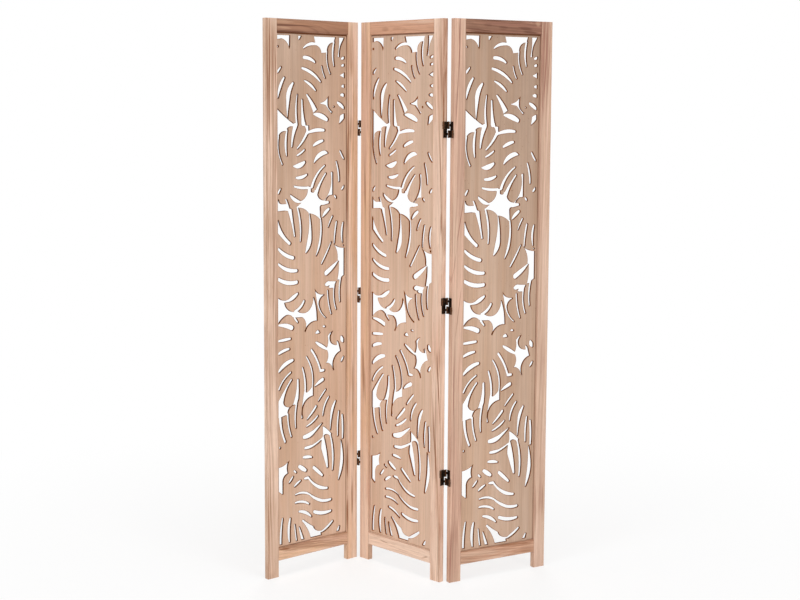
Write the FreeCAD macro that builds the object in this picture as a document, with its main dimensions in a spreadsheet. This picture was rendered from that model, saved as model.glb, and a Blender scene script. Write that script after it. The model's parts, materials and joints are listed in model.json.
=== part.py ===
import FreeCAD, Part
import os
import re

from FreeCAD import Placement, Rotation, Vector

# A three-panel folding screen of wooden frames and pierced sheets, standing in a zigzag.
# X runs to the right, Y runs from front to back and Z runs up from the floor.
# Each fold line has three double-action hinges, so a wing can turn to the front or to the back.
# Lengths are in millimetres and angles in degrees.

DIMENSIONS = (
    ("screen_height", 1700, "floor to the top of the stiles"),
    ("panel_width", 350, "one panel, outer edge to outer edge"),
    ("frame_thickness", 18, "front face to back face"),
    ("stile_width", 40, "upright, seen from the front"),
    ("top_rail_depth", 39, "top rail, top edge to sheet"),
    ("bottom_rail_depth", 39, "bottom rail, sheet to lower edge"),
    ("foot_clearance", 51, "floor to the bottom rail"),
    ("edge_chamfer", 1, "broken long edges of stiles and rails"),
    ("sheet_thickness", 5, "pierced sheet"),
    ("groove_depth", 8, "how far the sheet enters stiles and rails"),
    ("groove_play", 0.1, "room at each side of the sheet in its groove"),
    ("dowel_diameter", 8, "frame joint dowels"),
    ("dowel_length", 50, "frame joint dowels"),
    ("dowel_spacing", 16, "between the two dowels of one joint"),
    ("dowel_end_room", 1, "empty end of a dowel hole"),
    ("fit_play", 0.05, "room around a dowel or a screw in its hole"),
    ("fold_gap", 8, "between two panels that stand in line"),
    ("pin_standout", 2.5, "hinge pin axis in front of the panel's face"),
    ("hinge_height", 48, "whole hinge"),
    ("hinge_inset", 325, "panel end to the centre of the outer hinges"),
    ("half_gap", 4, "between the upper and the lower link of a hinge"),
    ("knuckle_diameter", 6.2, "rolled knuckles"),
    ("knuckle_play", 0.2, "between stacked knuckles"),
    ("pin_diameter", 2.4, "hinge pins"),
    ("pin_play", 0.05, "room around a pin in the knuckle that turns on it"),
    ("pin_overhang", 0.5, "pin end past its knuckle"),
    ("leaf_thickness", 1.2, "hinge leaf on the panel's edge"),
    ("link_thickness", 1.6, "plate that joins two pins"),
    ("link_room", 0.5, "between a link's plate and the knuckle it straddles"),
    ("screw_head_diameter", 4.4, "countersunk hinge screws"),
    ("screw_shank_diameter", 2.4, "countersunk hinge screws"),
    ("screw_length", 16, "head included"),
    ("screw_spread", 7.6, "between the two screws across a leaf"),
    ("screw_rise", 34, "between the two screws up a leaf"),
    ("slot_width", 0.7, "cross slot of a screw"),
    ("slot_length", 2.6, "cross slot of a screw"),
    ("slot_depth", 0.8, "cross slot of a screw"),
    ("cut_overrun", 1, "how far a cutting tool passes the face it opens"),
    ("left_fold_angle", 85.7, "left wing, turned to the front from flat"),
    ("right_fold_angle", 74.1, "right wing, turned to the back from flat"),
    ("middle_turn_angle", 43.7, "middle panel's right end, turned to the front"),
)

QUARTER_TURN = 90
HALF_TURN = 180
HINGES_PER_FOLD = 3
PAIR = 2
KNUCKLES_PER_HALF = 3

# The pierced pattern is drawn on a grid over the sheet's visible opening.
# A place is (columns from the left, rows from the bottom), and a width is in columns.
GRID_COLUMN_SHARES = 270
GRID_ROW_SHARES = 1571
VIA = "via"

# Solid border: no cut-out passes these lines, left, bottom, right and top
WINDOW_SHARES = (5.5, 7.5, 262, 1562)

# Round holes: place and diameter
DOT_SHARES = ((8, 1528, 5.5), (220, 1351, 5.5), (257.5, 920, 5.5), (11, 312, 7))

# Slits in the leaves: points along the middle as (column, row, width), three points to an arc
SLIT_SHARES = {
    "top left leaf": (
        ((8, 1454, 9), (14, 1461, 8), (19, 1467, 6)),
        ((31, 1436, 8), (16, 1408, 12), (8.5, 1376, 4)),
        ((64, 1420, 9), (50, 1397, 17), (45.5, 1370, 15), (43.7, 1343, 10), (43.5, 1315, 3)),
        ((80, 1386, 5.5), (75.5, 1345, 8.5), (79, 1296, 9)),
        ((98, 1370, 7.5), (99.5, 1335, 10.5), (103, 1300, 17)),
        ((107, 1429, 5), (127, 1418.5, 10), (150, 1399.5, 6)),
        ((99, 1466, 8), (133, 1453.5, 11), (169, 1426, 6)),
        ((105, 1498, 10), (125, 1496, 11.5), (147, 1485, 7.5)),
        ((143, 1328, 6), (168, 1323, 17), (193, 1312, 13)),
    ),
    "top right leaf": (
        ((173.5, 1473, 5.5), (178, 1455, 6), (186, 1438, 5)),
        ((193.5, 1518, 7), (193.5, 1488, 6.5), (206, 1451, 5.5)),
        ((221, 1547, 8), (216, 1510, 9), (221, 1475, 5.5)),
        ((251, 1498, 7), (256, 1499.5, 9), (261, 1501.5, 7)),
        ((252, 1477, 7), (257, 1478, 8.5), (261, 1478.5, 7)),
        ((252, 1414, 6), (257, 1414, 10), (261, 1414, 10)),
        ((248, 1387, 7), (255, 1387, 11), (260, 1386, 9)),
        ((236, 1363, 9), (248, 1355.5, 13), (259, 1347.5, 9)),
    ),
    "upper left leaf": (
        ((10, 1262, 8), (8.5, 1228, 6), (23.5, 1178, 6.5)),
        ((42, 1280, 7), (36.5, 1240, 10.5), (40, 1204, 6)),
        ((73, 1293, 18), (63.5, 1262, 12), (59.5, 1231, 7)),
        ((117, 1272, 12), (104, 1251, 10), (80, 1225, 6)),
        ((79, 1203.5, 6), (94, 1211, 8), (107, 1220, 6.5)),
        ((65, 1171.5, 4), (84, 1172, 16), (107, 1182.5, 10)),
        ((76, 1136, 7), (96, 1137, 11), (116, 1144.5, 7)),
        ((68, 1110, 6), (95, 1105, 8), (125, 1105, 8)),
        ((9, 1092, 8), (12, 1098, 8.5), (16.5, 1104, 6)),
    ),
    "right leaf under the top": (
        ((120, 1272, 7), (150, 1279.3, 11.5), (183, 1279, 8)),
        ((142, 1233, 8), (160, 1242, 12), (178, 1247, 8)),
        ((185, 1171, 6), (153, 1141, 10), (136, 1108, 12)),
        ((188.5, 1146, 7), (168, 1118, 10), (152, 1088, 16)),
        ((245, 1214, 7), (251.5, 1202, 8), (260, 1190, 6)),
        ((230, 1182, 6.5), (238, 1152, 8.5), (241, 1122, 7)),
        ((253, 1097, 8), (256.5, 1101, 9), (260, 1106, 6)),
        ((224, 1076, 7), (226.5, 1073.5, 8), (229, 1070, 6)),
    ),
    "large middle leaf": (
        ((80, 1046, 8), (90, 1003, 9), (91, 943, 6.5)),
        ((125.5, 1026, 5), (129, 985, 11), (127, 950, 18), (121, 925, 17), (112.5, 908, 8)),
        ((169, 1008, 7), (171, 975, 9), (168, 945, 10), (161, 917, 10), (151.5, 895, 5)),
        ((9, 923, 9), (34, 904, 12), (64, 893, 11)),
        ((9, 877, 8), (42, 858, 12), (77, 853, 10)),
        ((9, 831, 11), (45, 817.5, 13), (77, 817.5, 12)),
        ((210, 933, 5), (194, 904, 8), (172.5, 869, 7)),
        ((191, 838, 17), (214, 853.5, 15), (238, 873, 5)),
    ),
    "right leaf above the middle": (
        ((177, 1014, 6), (189, 1027, 13), (201, 1036, 10)),
        ((214.5, 1013, 7), (206, 998, 7), (199, 981, 5)),
        ((231, 995, 8), (225.5, 965, 8.5), (222.5, 930, 6)),
        ((257, 991, 7.5), (252, 962, 9.5), (255, 930, 5)),
    ),
    "right leaf below the middle": (
        ((196, 782, 7), (200, 745, 7), (210, 709, 6)),
        ((223, 797, 7), (220.5, 760, 7), (229.5, 722, 6)),
        ((248.5, 820, 8), (242.5, 775, 7.5), (245, 745, 6)),
        ((178, 671.5, 5), (182, 671.5, 7), (186, 670.5, 5)),
        ((251, 631, 10), (253.5, 624, 15), (258, 616, 7)),
        ((251, 555, 7), (255, 561, 9.5), (259, 567, 6.5)),
    ),
    "left leaf below the middle": (
        ((70, 728, 9), (90, 739, 11), (104, 757, 9)),
        ((68, 709, 9), (74, 701, 8), (80, 694, 6)),
        ((9, 691, 6), (32, 688, 13), (58, 678.5, 15)),
        ((9, 642.5, 8), (30, 644, 10), (52, 645.5, 8)),
        ((9, 604, 9), (29, 611.5, 11), (47, 614.5, 7.5)),
        ((9, 549, 9), (34, 569, 15), (61, 578, 10)),
        ((9, 494, 8), (26, 520, 7.5), (53, 541, 7)),
        ((98, 550, 7), (107, 515, 9), (108.5, 470, 9)),
        ((113, 583, 6), (124, 565, 7), (133, 543, 7.5), (138, 515, 7), (136.5, 484, 7)),
        ((133, 602, 9), (154, 570, 9), (168, 535, 9)),
        ((168, 533, 9), (176, 533, 9.5), (182, 533, 8)),
        ((151, 624, 7), (170, 612, 12), (194, 599, 7)),
    ),
    "lower right leaf": (
        ((146, 487, 5), (160, 496, 12), (177, 504, 13)),
        ((188, 471, 7), (173, 455, 8), (160, 439, 6)),
        ((200, 446, 7.5), (185, 423, 9), (177.5, 391, 6)),
        ((150, 422, 10), (136, 406, 10), (116, 387, 6)),
        ((227, 429, 8), (217, 410, 13), (211.5, 388, 11), (208.5, 365, 8), (207, 341, 5)),
        ((241, 394, 8), (236.5, 355, 8.5), (237, 318, 6)),
        ((254.5, 381, 8.5), (257, 345, 9.5), (256.5, 308, 8)),
    ),
    "lower left leaf": (
        ((13, 402, 12), (17, 370, 10), (31, 328, 8.5)),
        ((41.5, 411, 8), (44, 380, 7.5), (54.5, 341, 6.5)),
        ((75, 440, 9), (70, 400, 8), (72, 366, 5.5)),
        ((157, 391, 7), (137, 375.5, 8.5), (114, 364.5, 6)),
        ((104, 332, 13), (124, 335, 17), (143, 344, 13), (160, 356, 9), (174, 366, 4)),
        ((108, 296.5, 9), (122, 297, 11), (138, 299.5, 9), (158, 308, 8), (177, 319, 6)),
        ((101, 268.5, 8), (118, 267, 11), (135, 263.5, 5)),
        ((85, 242, 11), (97, 234, 14.5), (110.5, 225.5, 10)),
        ((65, 231, 6), (69, 228, 7), (73, 224.5, 5)),
        ((60, 213, 7), (53, 205, 9), (46, 197, 6)),
        ((67, 182.5, 7), (79, 191, 10), (90, 196.5, 6)),
    ),
    "bottom right leaf": (
        ((208, 322, 7), (217, 270, 9.5), (215.5, 211, 7)),
        ((249.5, 301, 4), (253, 270, 11), (253.5, 238, 15), (249, 208, 14), (240, 176, 6)),
        ((141, 230, 11), (157, 216, 12), (176, 199, 8)),
        ((104, 201, 5), (111, 200.5, 9.5), (119, 200, 10)),
        ((120, 202, 7), (141, 178, 8.5), (163, 163.5, 11), (180, 157.5, 10), (195, 155, 8)),
        ((70, 155, 6), (97, 157, 7.5), (124, 147.5, 5.5), (147, 130.5, 8.5), (172, 118.5, 9.5),
         (190, 115.5, 10.5), (209, 116, 9)),
        ((143, 88, 10), (177, 78, 12.5), (209, 79, 9)),
    ),
    "bottom left leaf": (
        ((70, 129.5, 7), (98, 128, 8), (123, 116.5, 5)),
        ((84, 99.5, 7), (108, 92, 10), (131.5, 75, 5)),
        ((20, 88, 7), (14, 45, 9.5), (13, 3, 9)),
        ((49, 82, 9), (44, 50, 12), (48, 3, 5)),
        ((67, 60, 6), (69.5, 36, 7), (75, 2, 6)),
        ((84, 49, 5), (90, 30, 9), (99, 3, 11)),
        ((242.5, 21.5, 7), (239, 14, 10), (234, 4, 10)),
    ),
}

# Gaps between the leaves: outlines of places, with VIA before a point that an arc passes through
GAP_SHARES = {
    "top edge": (
        ((5, 1564), (53, 1564), (52, 1530), (50, 1522), VIA, (39, 1543), (22, 1552), (5, 1549)),
        ((83, 1564), (98, 1564), (89, 1551), (84, 1550)),
        ((142, 1564), (228, 1564), (222, 1545), (216, 1546), VIA, (203, 1539), (196.5, 1517),
         (190.5, 1515), (171, 1513), VIA, (163, 1530), (146, 1536), VIA, (122, 1532), (104, 1523),
         (101, 1527), VIA, (118, 1540), (148, 1544)),
        ((240, 1564), (262, 1564), (257, 1554), VIA, (249, 1540), (243, 1503), (234.5, 1503), VIA,
         (239, 1530), (240, 1564)),
        ((243, 1447), (264, 1457.5), (264, 1437.5)),
    ),
    "upper part": (
        ((5, 1345), VIA, (38, 1318), (78, 1293), (64, 1291), VIA, (49, 1289), (40, 1277), VIA,
         (22, 1274), (10, 1255), (5, 1255)),
        ((112, 1387), (118, 1390), VIA, (139, 1367), (157, 1342), (141, 1330.5), VIA, (131, 1353),
         (112, 1387)),
        ((95, 1300), (112, 1304), (114, 1294), (124, 1293), (124.5, 1268), (112, 1266), (113, 1280),
         (109, 1290)),
        ((167, 1362), VIA, (184, 1368), (200, 1384), VIA, (198, 1368), (199, 1352), VIA, (205, 1343),
         (215, 1335), (210, 1329), VIA, (199, 1343), (187, 1356), VIA, (177, 1358), (167, 1360)),
        ((264, 1330), VIA, (253, 1328), (244, 1323), VIA, (242, 1310), (240, 1297), VIA, (253, 1306),
         (264, 1318)),
        ((141, 1182), VIA, (157, 1207), (182, 1217), VIA, (192, 1215), (199, 1208), (190, 1205), VIA,
         (165, 1194), (145, 1178)),
    ),
    "centre": (
        ((119, 1101), (134, 1109), (133.5, 1095), VIA, (138.5, 1089), (144, 1096), (160, 1098), VIA,
         (161, 1076), (176, 1064.5), (189, 1062), (201, 1061), VIA, (203.5, 1057), (199, 1053),
         (180, 1049), VIA, (170, 1047), (168, 1040), (170, 1006), (166, 1006), VIA, (147, 1020),
         (127, 1026), (122, 1027), VIA, (104, 1041), (84, 1045), (76, 1047), (94, 1059.5), VIA,
         (75, 1061), (52, 1080), (52, 1088), VIA, (74, 1075), (92, 1065), VIA, (108, 1074), (119, 1101)),
        ((207.5, 1146), VIA, (212, 1151.5), (217, 1146), (217, 1080), (205, 1079), VIA, (196, 1073),
         (189, 1061), (183, 1064), VIA, (205, 1098), (207.5, 1146)),
        ((5, 1073), (9, 1073), VIA, (15, 1061), (26, 1058), (38, 1058.5), (33, 1073), (40, 1073), VIA,
         (46, 1060), (52, 1044), (60, 1041), VIA, (66, 1000), (73, 958), (66, 956), VIA, (57, 995),
         (43, 1037), (33, 1038.6), (5, 1037)),
        ((8, 1012), VIA, (21, 980), (55, 941), VIA, (54, 934), (47, 933), VIA, (25, 952), (5, 972),
         (5, 1008)),
        ((219, 928), VIA, (235, 918), (264, 912), (264, 828), (251, 820), (250, 815), (234, 812), VIA,
         (239, 838), (240.5, 873), (235, 877), VIA, (233, 902), (219, 928)),
        ((184, 802), VIA, (192, 810), (205, 811), (232, 809), (226, 798), (222, 789), (206, 789),
         (200, 793), (204, 798), VIA, (192, 796), (184, 802)),
    ),
    "below the centre": (
        ((8, 774), VIA, (27, 765), (51, 772), VIA, (66, 781), (82, 787), (84, 781), VIA, (66, 765),
         (48, 759), (31, 758), VIA, (41, 738), (66, 727), (80, 729), VIA, (104, 720), (130, 735), VIA,
         (137, 748), (139, 765), (142, 767), VIA, (151, 740), (155, 712), (156, 692), VIA, (130, 687),
         (108.5, 661), (105.5, 664), VIA, (111, 688), (97, 708), (72, 709), (60, 712), VIA, (48, 719.5),
         (33, 717), VIA, (18, 707.5), (8, 696), (5, 696), (5, 774)),
        ((145, 792), VIA, (158, 777), (182, 772), (182, 769), VIA, (166, 756), (163, 742), VIA,
         (172, 719), (191, 699), (189, 696), VIA, (166, 718), (155, 742), (150, 770)),
        ((147, 653), VIA, (152, 660), (161, 662), (167, 653), VIA, (157, 650.5), (147, 653)),
        ((217, 655), (204, 648), (196, 640), VIA, (198, 625), (194, 606), (192, 598), VIA, (198, 580),
         (189, 555), (199, 554.5), VIA, (210, 546), (217, 529), (221, 530), VIA, (225, 570), (249, 587),
         (246, 597), (242, 612), (235, 622), (231, 619), (233, 608), VIA, (212, 616), (211, 646)),
        ((52, 520), VIA, (30, 492), (5, 456), (5, 405), (15, 405), (35, 410), (43, 408), VIA, (51, 433),
         (73, 438), (79, 441), (84, 455), (86, 480), (85, 514), VIA, (80, 518.5), (75.5, 514), VIA,
         (73, 480), (64, 449), VIA, (42, 434), (26.5, 450), VIA, (37, 484), (59, 516), VIA, (57, 521),
         (52, 520)),
        ((104, 478), (114, 471), VIA, (124, 477), (135, 489), (140.5, 484), (140.5, 458), (134, 457),
         VIA, (110, 444), (99, 396), VIA, (96, 391), (92.5, 395), VIA, (97, 440), (104, 478)),
    ),
    "bottom part": (
        ((177, 357), VIA, (197, 343), (213, 327), (210, 320), (205, 317), VIA, (191, 328), (181, 321),
         (175, 318), (177, 332), (176, 352)),
        ((176, 323), (183, 323), VIA, (192.5, 285), (200, 225), VIA, (196, 219.5), (191, 223),
         (170, 286), VIA, (171, 304), (176, 323)),
        ((5, 250), VIA, (27, 255), (46, 267), VIA, (39.5, 247), (42, 227), VIA, (27, 217), (22.5, 200),
         (22.5, 165), (19, 165), (5, 176)),
        ((93, 68), (99, 72), VIA, (118, 56), (141, 41), VIA, (148, 29), (161, 23), (173, 22), VIA,
         (192, 34), (212, 47), VIA, (219, 46), (217, 40), VIA, (198, 25), (178, 16), (170, 15),
         (172.5, 5), (129, 5), VIA, (119, 32), (93, 68)),
    ),
}

# Below these values an edge counts as parallel, and three points as straight
PARALLEL = 1e-6
STRAIGHT = 1e-4

doc = FreeCAD.newDocument("FoldingScreen")
sheet = doc.addObject("Spreadsheet::Sheet", "Dimensions")
for row, (alias, amount, meaning) in enumerate(DIMENSIONS, start=1):
    sheet.set("A%d" % row, meaning)
    sheet.set("B%d" % row, str(amount))
    sheet.setAlias("B%d" % row, alias)
doc.recompute()

ALIASES = re.compile(r"\b(" + "|".join(entry[0] for entry in DIMENSIONS) + r")\b")
AXIS_X = Vector(1, 0, 0)
AXIS_Y = Vector(0, 1, 0)
AXIS_Z = Vector(0, 0, 1)
ALONG_X = Rotation(AXIS_Y, QUARTER_TURN)


def size(alias):
    """One driving dimension, read from the sheet."""
    return float(sheet.get(alias))


def bind(thing, name, formula):
    """Tie a property to a formula of the sheet's names."""
    thing.setExpression(name, ALIASES.sub(r"Dimensions.\1", formula))


def new_body(label):
    """An empty body with a label of its own."""
    body = doc.addObject("PartDesign::Body", label)
    body.Label = label
    return body


def add_box(body, kind, name, sides, corner):
    """A box feature of a body: its three sides and its lowest corner are formulas."""
    box = body.newObject("PartDesign::" + kind + "Box", name)
    for side, formula in zip(("Length", "Width", "Height"), sides):
        bind(box, side, formula)
    for axis, formula in zip("xyz", corner):
        bind(box, "Placement.Base." + axis, formula)
    return box


def add_cylinder(body, kind, name, radius, height, base, turn=Rotation()):
    """A cylinder feature of a body: it stands up from its base, unless it is turned."""
    cylinder = body.newObject("PartDesign::" + kind + "Cylinder", name)
    cylinder.Placement = Placement(Vector(), turn)
    bind(cylinder, "Radius", radius)
    bind(cylinder, "Height", height)
    for axis, formula in zip("xyz", base):
        bind(cylinder, "Placement.Base." + axis, formula)
    return cylinder


def break_edges(body, along):
    """Chamfer the straight edges of a bar that run along one axis."""
    doc.recompute()
    bar = body.Tip
    long_edges = []
    for number, edge in enumerate(bar.Shape.Edges, start=1):
        if edge.tangentAt(edge.FirstParameter).cross(along).Length < PARALLEL:
            long_edges.append("Edge%d" % number)
    chamfer = body.newObject("PartDesign::Chamfer", body.Label + "_chamfer")
    chamfer.Base = (bar, long_edges)
    bind(chamfer, "Size", "edge_chamfer")


def repeat(body, feature, steps):
    """Repeat a feature along the body's own axes; a step is (axis, whole length, count)."""
    patterns = []
    for axis, length, count in steps:
        pattern = doc.addObject("PartDesign::LinearPattern", body.Label + "_along_" + axis)
        origin_axis = [f for f in body.Origin.OriginFeatures if f.Role == axis + "_Axis"][0]
        pattern.Direction = (origin_axis, [""])
        bind(pattern, "Length", length)
        pattern.Occurrences = count
        patterns.append(pattern)
    grid = body.newObject("PartDesign::MultiTransform", body.Label + "_repeats")
    grid.Originals = [feature]
    grid.Transformations = patterns
    body.Tip = grid


# Stiles: local X runs from the outer edge in to the sheet, and Z runs up from the floor

def stile_pattern(label, has_hinges):
    """Upright with a groove for the sheet, dowel holes, and pilot holes where it carries hinges."""
    body = new_body(label)
    add_box(
        body, "Additive", label + "_bar",
        ("stile_width", "frame_thickness", "screen_height"),
        ("0", "-frame_thickness / 2", "0"),
    )
    break_edges(body, AXIS_Z)
    add_box(
        body, "Subtractive", label + "_groove",
        (
            "groove_depth + cut_overrun",
            "sheet_thickness + 2 * groove_play",
            "screen_height - foot_clearance - bottom_rail_depth - top_rail_depth + 2 * groove_depth",
        ),
        (
            "stile_width - groove_depth",
            "-sheet_thickness / 2 - groove_play",
            "foot_clearance + bottom_rail_depth - groove_depth",
        ),
    )
    rail_starts = {
        "bottom": "foot_clearance + (bottom_rail_depth - groove_depth - dowel_spacing) / 2",
        "top": "screen_height - (top_rail_depth - groove_depth + dowel_spacing) / 2",
    }
    for rail, height in rail_starts.items():
        hole = add_cylinder(
            body, "Subtractive", label + "_" + rail + "_dowel_hole",
            "dowel_diameter / 2 + fit_play",
            "dowel_length / 2 + dowel_end_room + cut_overrun",
            ("stile_width - dowel_length / 2 - dowel_end_room", "0", height),
            ALONG_X,
        )
        repeat(body, hole, (("Z", "dowel_spacing", PAIR),))
    if has_hinges:
        pilot = add_cylinder(
            body, "Subtractive", label + "_pilot_hole",
            "screw_shank_diameter / 2 + fit_play",
            "screw_length - leaf_thickness + dowel_end_room + cut_overrun",
            ("-cut_overrun", "-screw_spread / 2", "hinge_inset - screw_rise / 2"),
            ALONG_X,
        )
        repeat(body, pilot, (
            ("Y", "screw_spread", PAIR),
            ("Z", "screw_rise", PAIR),
            ("Z", "screen_height - 2 * hinge_inset", HINGES_PER_FOLD),
        ))
    return body


# Rails: local X runs along the rail from its middle, and Z runs from the outer edge to the sheet

def rail_pattern(label, depth):
    """Cross rail with a groove for the sheet and two dowel holes in each end."""
    body = new_body(label)
    length = "(panel_width - 2 * stile_width)"
    add_box(
        body, "Additive", label + "_bar",
        (length, "frame_thickness", depth),
        ("-" + length + " / 2", "-frame_thickness / 2", "0"),
    )
    break_edges(body, AXIS_X)
    add_box(
        body, "Subtractive", label + "_groove",
        (length + " + 2 * cut_overrun", "sheet_thickness + 2 * groove_play", "groove_depth + cut_overrun"),
        (
            "-" + length + " / 2 - cut_overrun",
            "-sheet_thickness / 2 - groove_play",
            depth + " - groove_depth",
        ),
    )
    ends = {
        "left": "-" + length + " / 2 - cut_overrun",
        "right": length + " / 2 - dowel_length / 2 - dowel_end_room",
    }
    for end, start in ends.items():
        hole = add_cylinder(
            body, "Subtractive", label + "_" + end + "_dowel_hole",
            "dowel_diameter / 2 + fit_play",
            "dowel_length / 2 + dowel_end_room + cut_overrun",
            (start, "0", "(" + depth + " - groove_depth - dowel_spacing) / 2"),
            ALONG_X,
        )
        repeat(body, hole, (("Z", "dowel_spacing", PAIR),))
    return body


# Hinges: local Z runs up from the hinge's middle, and the fold line is at X zero, Y zero.
# The front pin axis and the back pin axis stand off the panel's two faces.

PIN_REACH = "(frame_thickness / 2 + pin_standout)"
HALF_HEIGHT = "((hinge_height - half_gap) / 2)"
KNUCKLE_HEIGHT = "((%s - 2 * knuckle_play) / %d)" % (HALF_HEIGHT, KNUCKLES_PER_HALF)
UPPER_START = "(half_gap / 2)"
LOWER_START = "(-hinge_height / 2)"
MIDDLE_KNUCKLE = KNUCKLE_HEIGHT + " + knuckle_play"


def leaf_pattern(label):
    """Leaf for a panel's right edge: its knuckles stand in front in the upper half, behind in the lower."""
    body = new_body(label)
    add_box(
        body, "Additive", label + "_plate",
        ("leaf_thickness", "frame_thickness - 2 * edge_chamfer", "hinge_height"),
        ("-fold_gap / 2", "-frame_thickness / 2 + edge_chamfer", "-hinge_height / 2"),
    )
    ears = {
        "front": (UPPER_START, "-" + PIN_REACH + " - leaf_thickness / 2", "-" + PIN_REACH),
        "back": (LOWER_START, "frame_thickness / 2 - edge_chamfer", PIN_REACH),
    }
    wrap = "(pin_standout + edge_chamfer + leaf_thickness / 2)"
    for side, (start, wrap_start, pin_line) in ears.items():
        height = start + " + " + MIDDLE_KNUCKLE
        add_box(
            body, "Additive", label + "_" + side + "_tab",
            ("leaf_thickness", wrap, KNUCKLE_HEIGHT),
            ("-fold_gap / 2", wrap_start, height),
        )
        add_box(
            body, "Additive", label + "_" + side + "_ear",
            ("fold_gap / 2", "leaf_thickness", KNUCKLE_HEIGHT),
            ("-fold_gap / 2", pin_line + " - leaf_thickness / 2", height),
        )
        add_cylinder(
            body, "Additive", label + "_" + side + "_knuckle",
            "knuckle_diameter / 2", KNUCKLE_HEIGHT, ("0", pin_line, height),
        )
        add_cylinder(
            body, "Subtractive", label + "_" + side + "_bore",
            "pin_diameter / 2 + pin_play", KNUCKLE_HEIGHT + " + 2 * cut_overrun",
            ("0", pin_line, height + " - cut_overrun"),
        )
    seat = body.newObject("PartDesign::SubtractiveCone", label + "_screw_seat")
    seat.Placement = Placement(Vector(), ALONG_X)
    bind(seat, "Radius1", "screw_shank_diameter / 2 + fit_play")
    bind(seat, "Radius2", "screw_head_diameter / 2 + fit_play")
    bind(seat, "Height", "(screw_head_diameter - screw_shank_diameter) / 2")
    place = (
        "-fold_gap / 2 + leaf_thickness - (screw_head_diameter - screw_shank_diameter) / 2",
        "-screw_spread / 2",
        "-screw_rise / 2",
    )
    for axis, formula in zip("xyz", place):
        bind(seat, "Placement.Base." + axis, formula)
    screw_places = (("Y", "screw_spread", PAIR), ("Z", "screw_rise", PAIR))
    repeat(body, seat, screw_places)
    hole = add_cylinder(
        body, "Subtractive", label + "_screw_hole",
        "screw_shank_diameter / 2 + fit_play", "leaf_thickness + 2 * cut_overrun",
        ("-fold_gap / 2 - cut_overrun", "-screw_spread / 2", "-screw_rise / 2"), ALONG_X,
    )
    repeat(body, hole, screw_places)
    return body


def link_pattern(label):
    """Link of one half hinge, its lower end at Z zero: a plate with two knuckles on each pin."""
    body = new_body(label)
    add_box(
        body, "Additive", label + "_plate",
        ("link_thickness", "2 * " + PIN_REACH, HALF_HEIGHT),
        ("-link_thickness / 2", "-" + PIN_REACH, "0"),
    )
    notch = "(knuckle_diameter + link_room + cut_overrun)"
    for side, start in (
        ("front", "-" + PIN_REACH + " + knuckle_diameter / 2 + link_room - " + notch),
        ("back", PIN_REACH + " - knuckle_diameter / 2 - link_room"),
    ):
        add_box(
            body, "Subtractive", label + "_" + side + "_notch",
            ("link_thickness + 2 * cut_overrun", notch, KNUCKLE_HEIGHT + " + 2 * knuckle_play"),
            ("-link_thickness / 2 - cut_overrun", start, KNUCKLE_HEIGHT),
        )
    for side, pin_line in (("front", "-" + PIN_REACH), ("back", PIN_REACH)):
        for level, start in (("low", "0"), ("high", HALF_HEIGHT + " - " + KNUCKLE_HEIGHT)):
            add_cylinder(
                body, "Additive", label + "_" + side + "_" + level + "_knuckle",
                "knuckle_diameter / 2", KNUCKLE_HEIGHT, ("0", pin_line, start),
            )
        add_cylinder(
            body, "Subtractive", label + "_" + side + "_bore",
            "pin_diameter / 2", HALF_HEIGHT + " + 2 * cut_overrun", ("0", pin_line, "-cut_overrun"),
        )
    return body


def screw_pattern(label):
    """Countersunk screw with a cross slot, its head's face at the origin and its point along minus X."""
    body = new_body(label)
    head = body.newObject("PartDesign::AdditiveCone", label + "_head")
    head.Placement = Placement(Vector(), ALONG_X)
    bind(head, "Radius1", "screw_shank_diameter / 2")
    bind(head, "Radius2", "screw_head_diameter / 2")
    bind(head, "Height", "(screw_head_diameter - screw_shank_diameter) / 2")
    bind(head, "Placement.Base.x", "-(screw_head_diameter - screw_shank_diameter) / 2")
    add_cylinder(
        body, "Additive", label + "_shank",
        "screw_shank_diameter / 2", "screw_length - screw_shank_diameter / 2",
        ("-screw_length + screw_shank_diameter / 2", "0", "0"), ALONG_X,
    )
    point = body.newObject("PartDesign::AdditiveCone", label + "_point")
    point.Placement = Placement(Vector(), ALONG_X)
    bind(point, "Radius1", "0")
    bind(point, "Radius2", "screw_shank_diameter / 2")
    bind(point, "Height", "screw_shank_diameter / 2")
    bind(point, "Placement.Base.x", "-screw_length")
    for name, across, up in (("flat", "slot_length", "slot_width"), ("tall", "slot_width", "slot_length")):
        add_box(
            body, "Subtractive", label + "_" + name + "_slot",
            ("slot_depth + cut_overrun", across, up),
            ("-slot_depth", "-" + across + " / 2", "-" + up + " / 2"),
        )
    return body


# The pierced sheet: its outline points are shares of the visible opening

OPENING_WIDTH = size("panel_width") - 2 * size("stile_width")
OPENING_BOTTOM = size("foot_clearance") + size("bottom_rail_depth")
OPENING_HEIGHT = size("screen_height") - size("top_rail_depth") - OPENING_BOTTOM
COLUMN = OPENING_WIDTH / GRID_COLUMN_SHARES
ROW = OPENING_HEIGHT / GRID_ROW_SHARES


def grid_point(share):
    """Point of the sheet's front face at one place of the drawing grid."""
    return Vector(share[0] * COLUMN - OPENING_WIDTH / 2, 0, share[1] * ROW + OPENING_BOTTOM)


def curve_through(start, middle, end):
    """Arc through three points, or the straight line when they lie in one."""
    if (middle - start).cross(end - start).Length < STRAIGHT * (end - start).Length ** 2:
        return Part.LineSegment(start, end)
    return Part.Arc(start, middle, end)


def slit_directions(points):
    """Unit direction of a slit at each of its points, shared where two arcs meet."""
    sums = [Vector() for _ in points]
    for first in range(0, len(points) - 2, 2):
        curve = curve_through(*points[first:first + 3])
        for number in range(first, first + 3):
            direction = curve.tangent(curve.parameter(points[number]))[0]
            sums[number] = sums[number] + Vector(direction).normalize()
    return [total.normalize() for total in sums]


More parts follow.
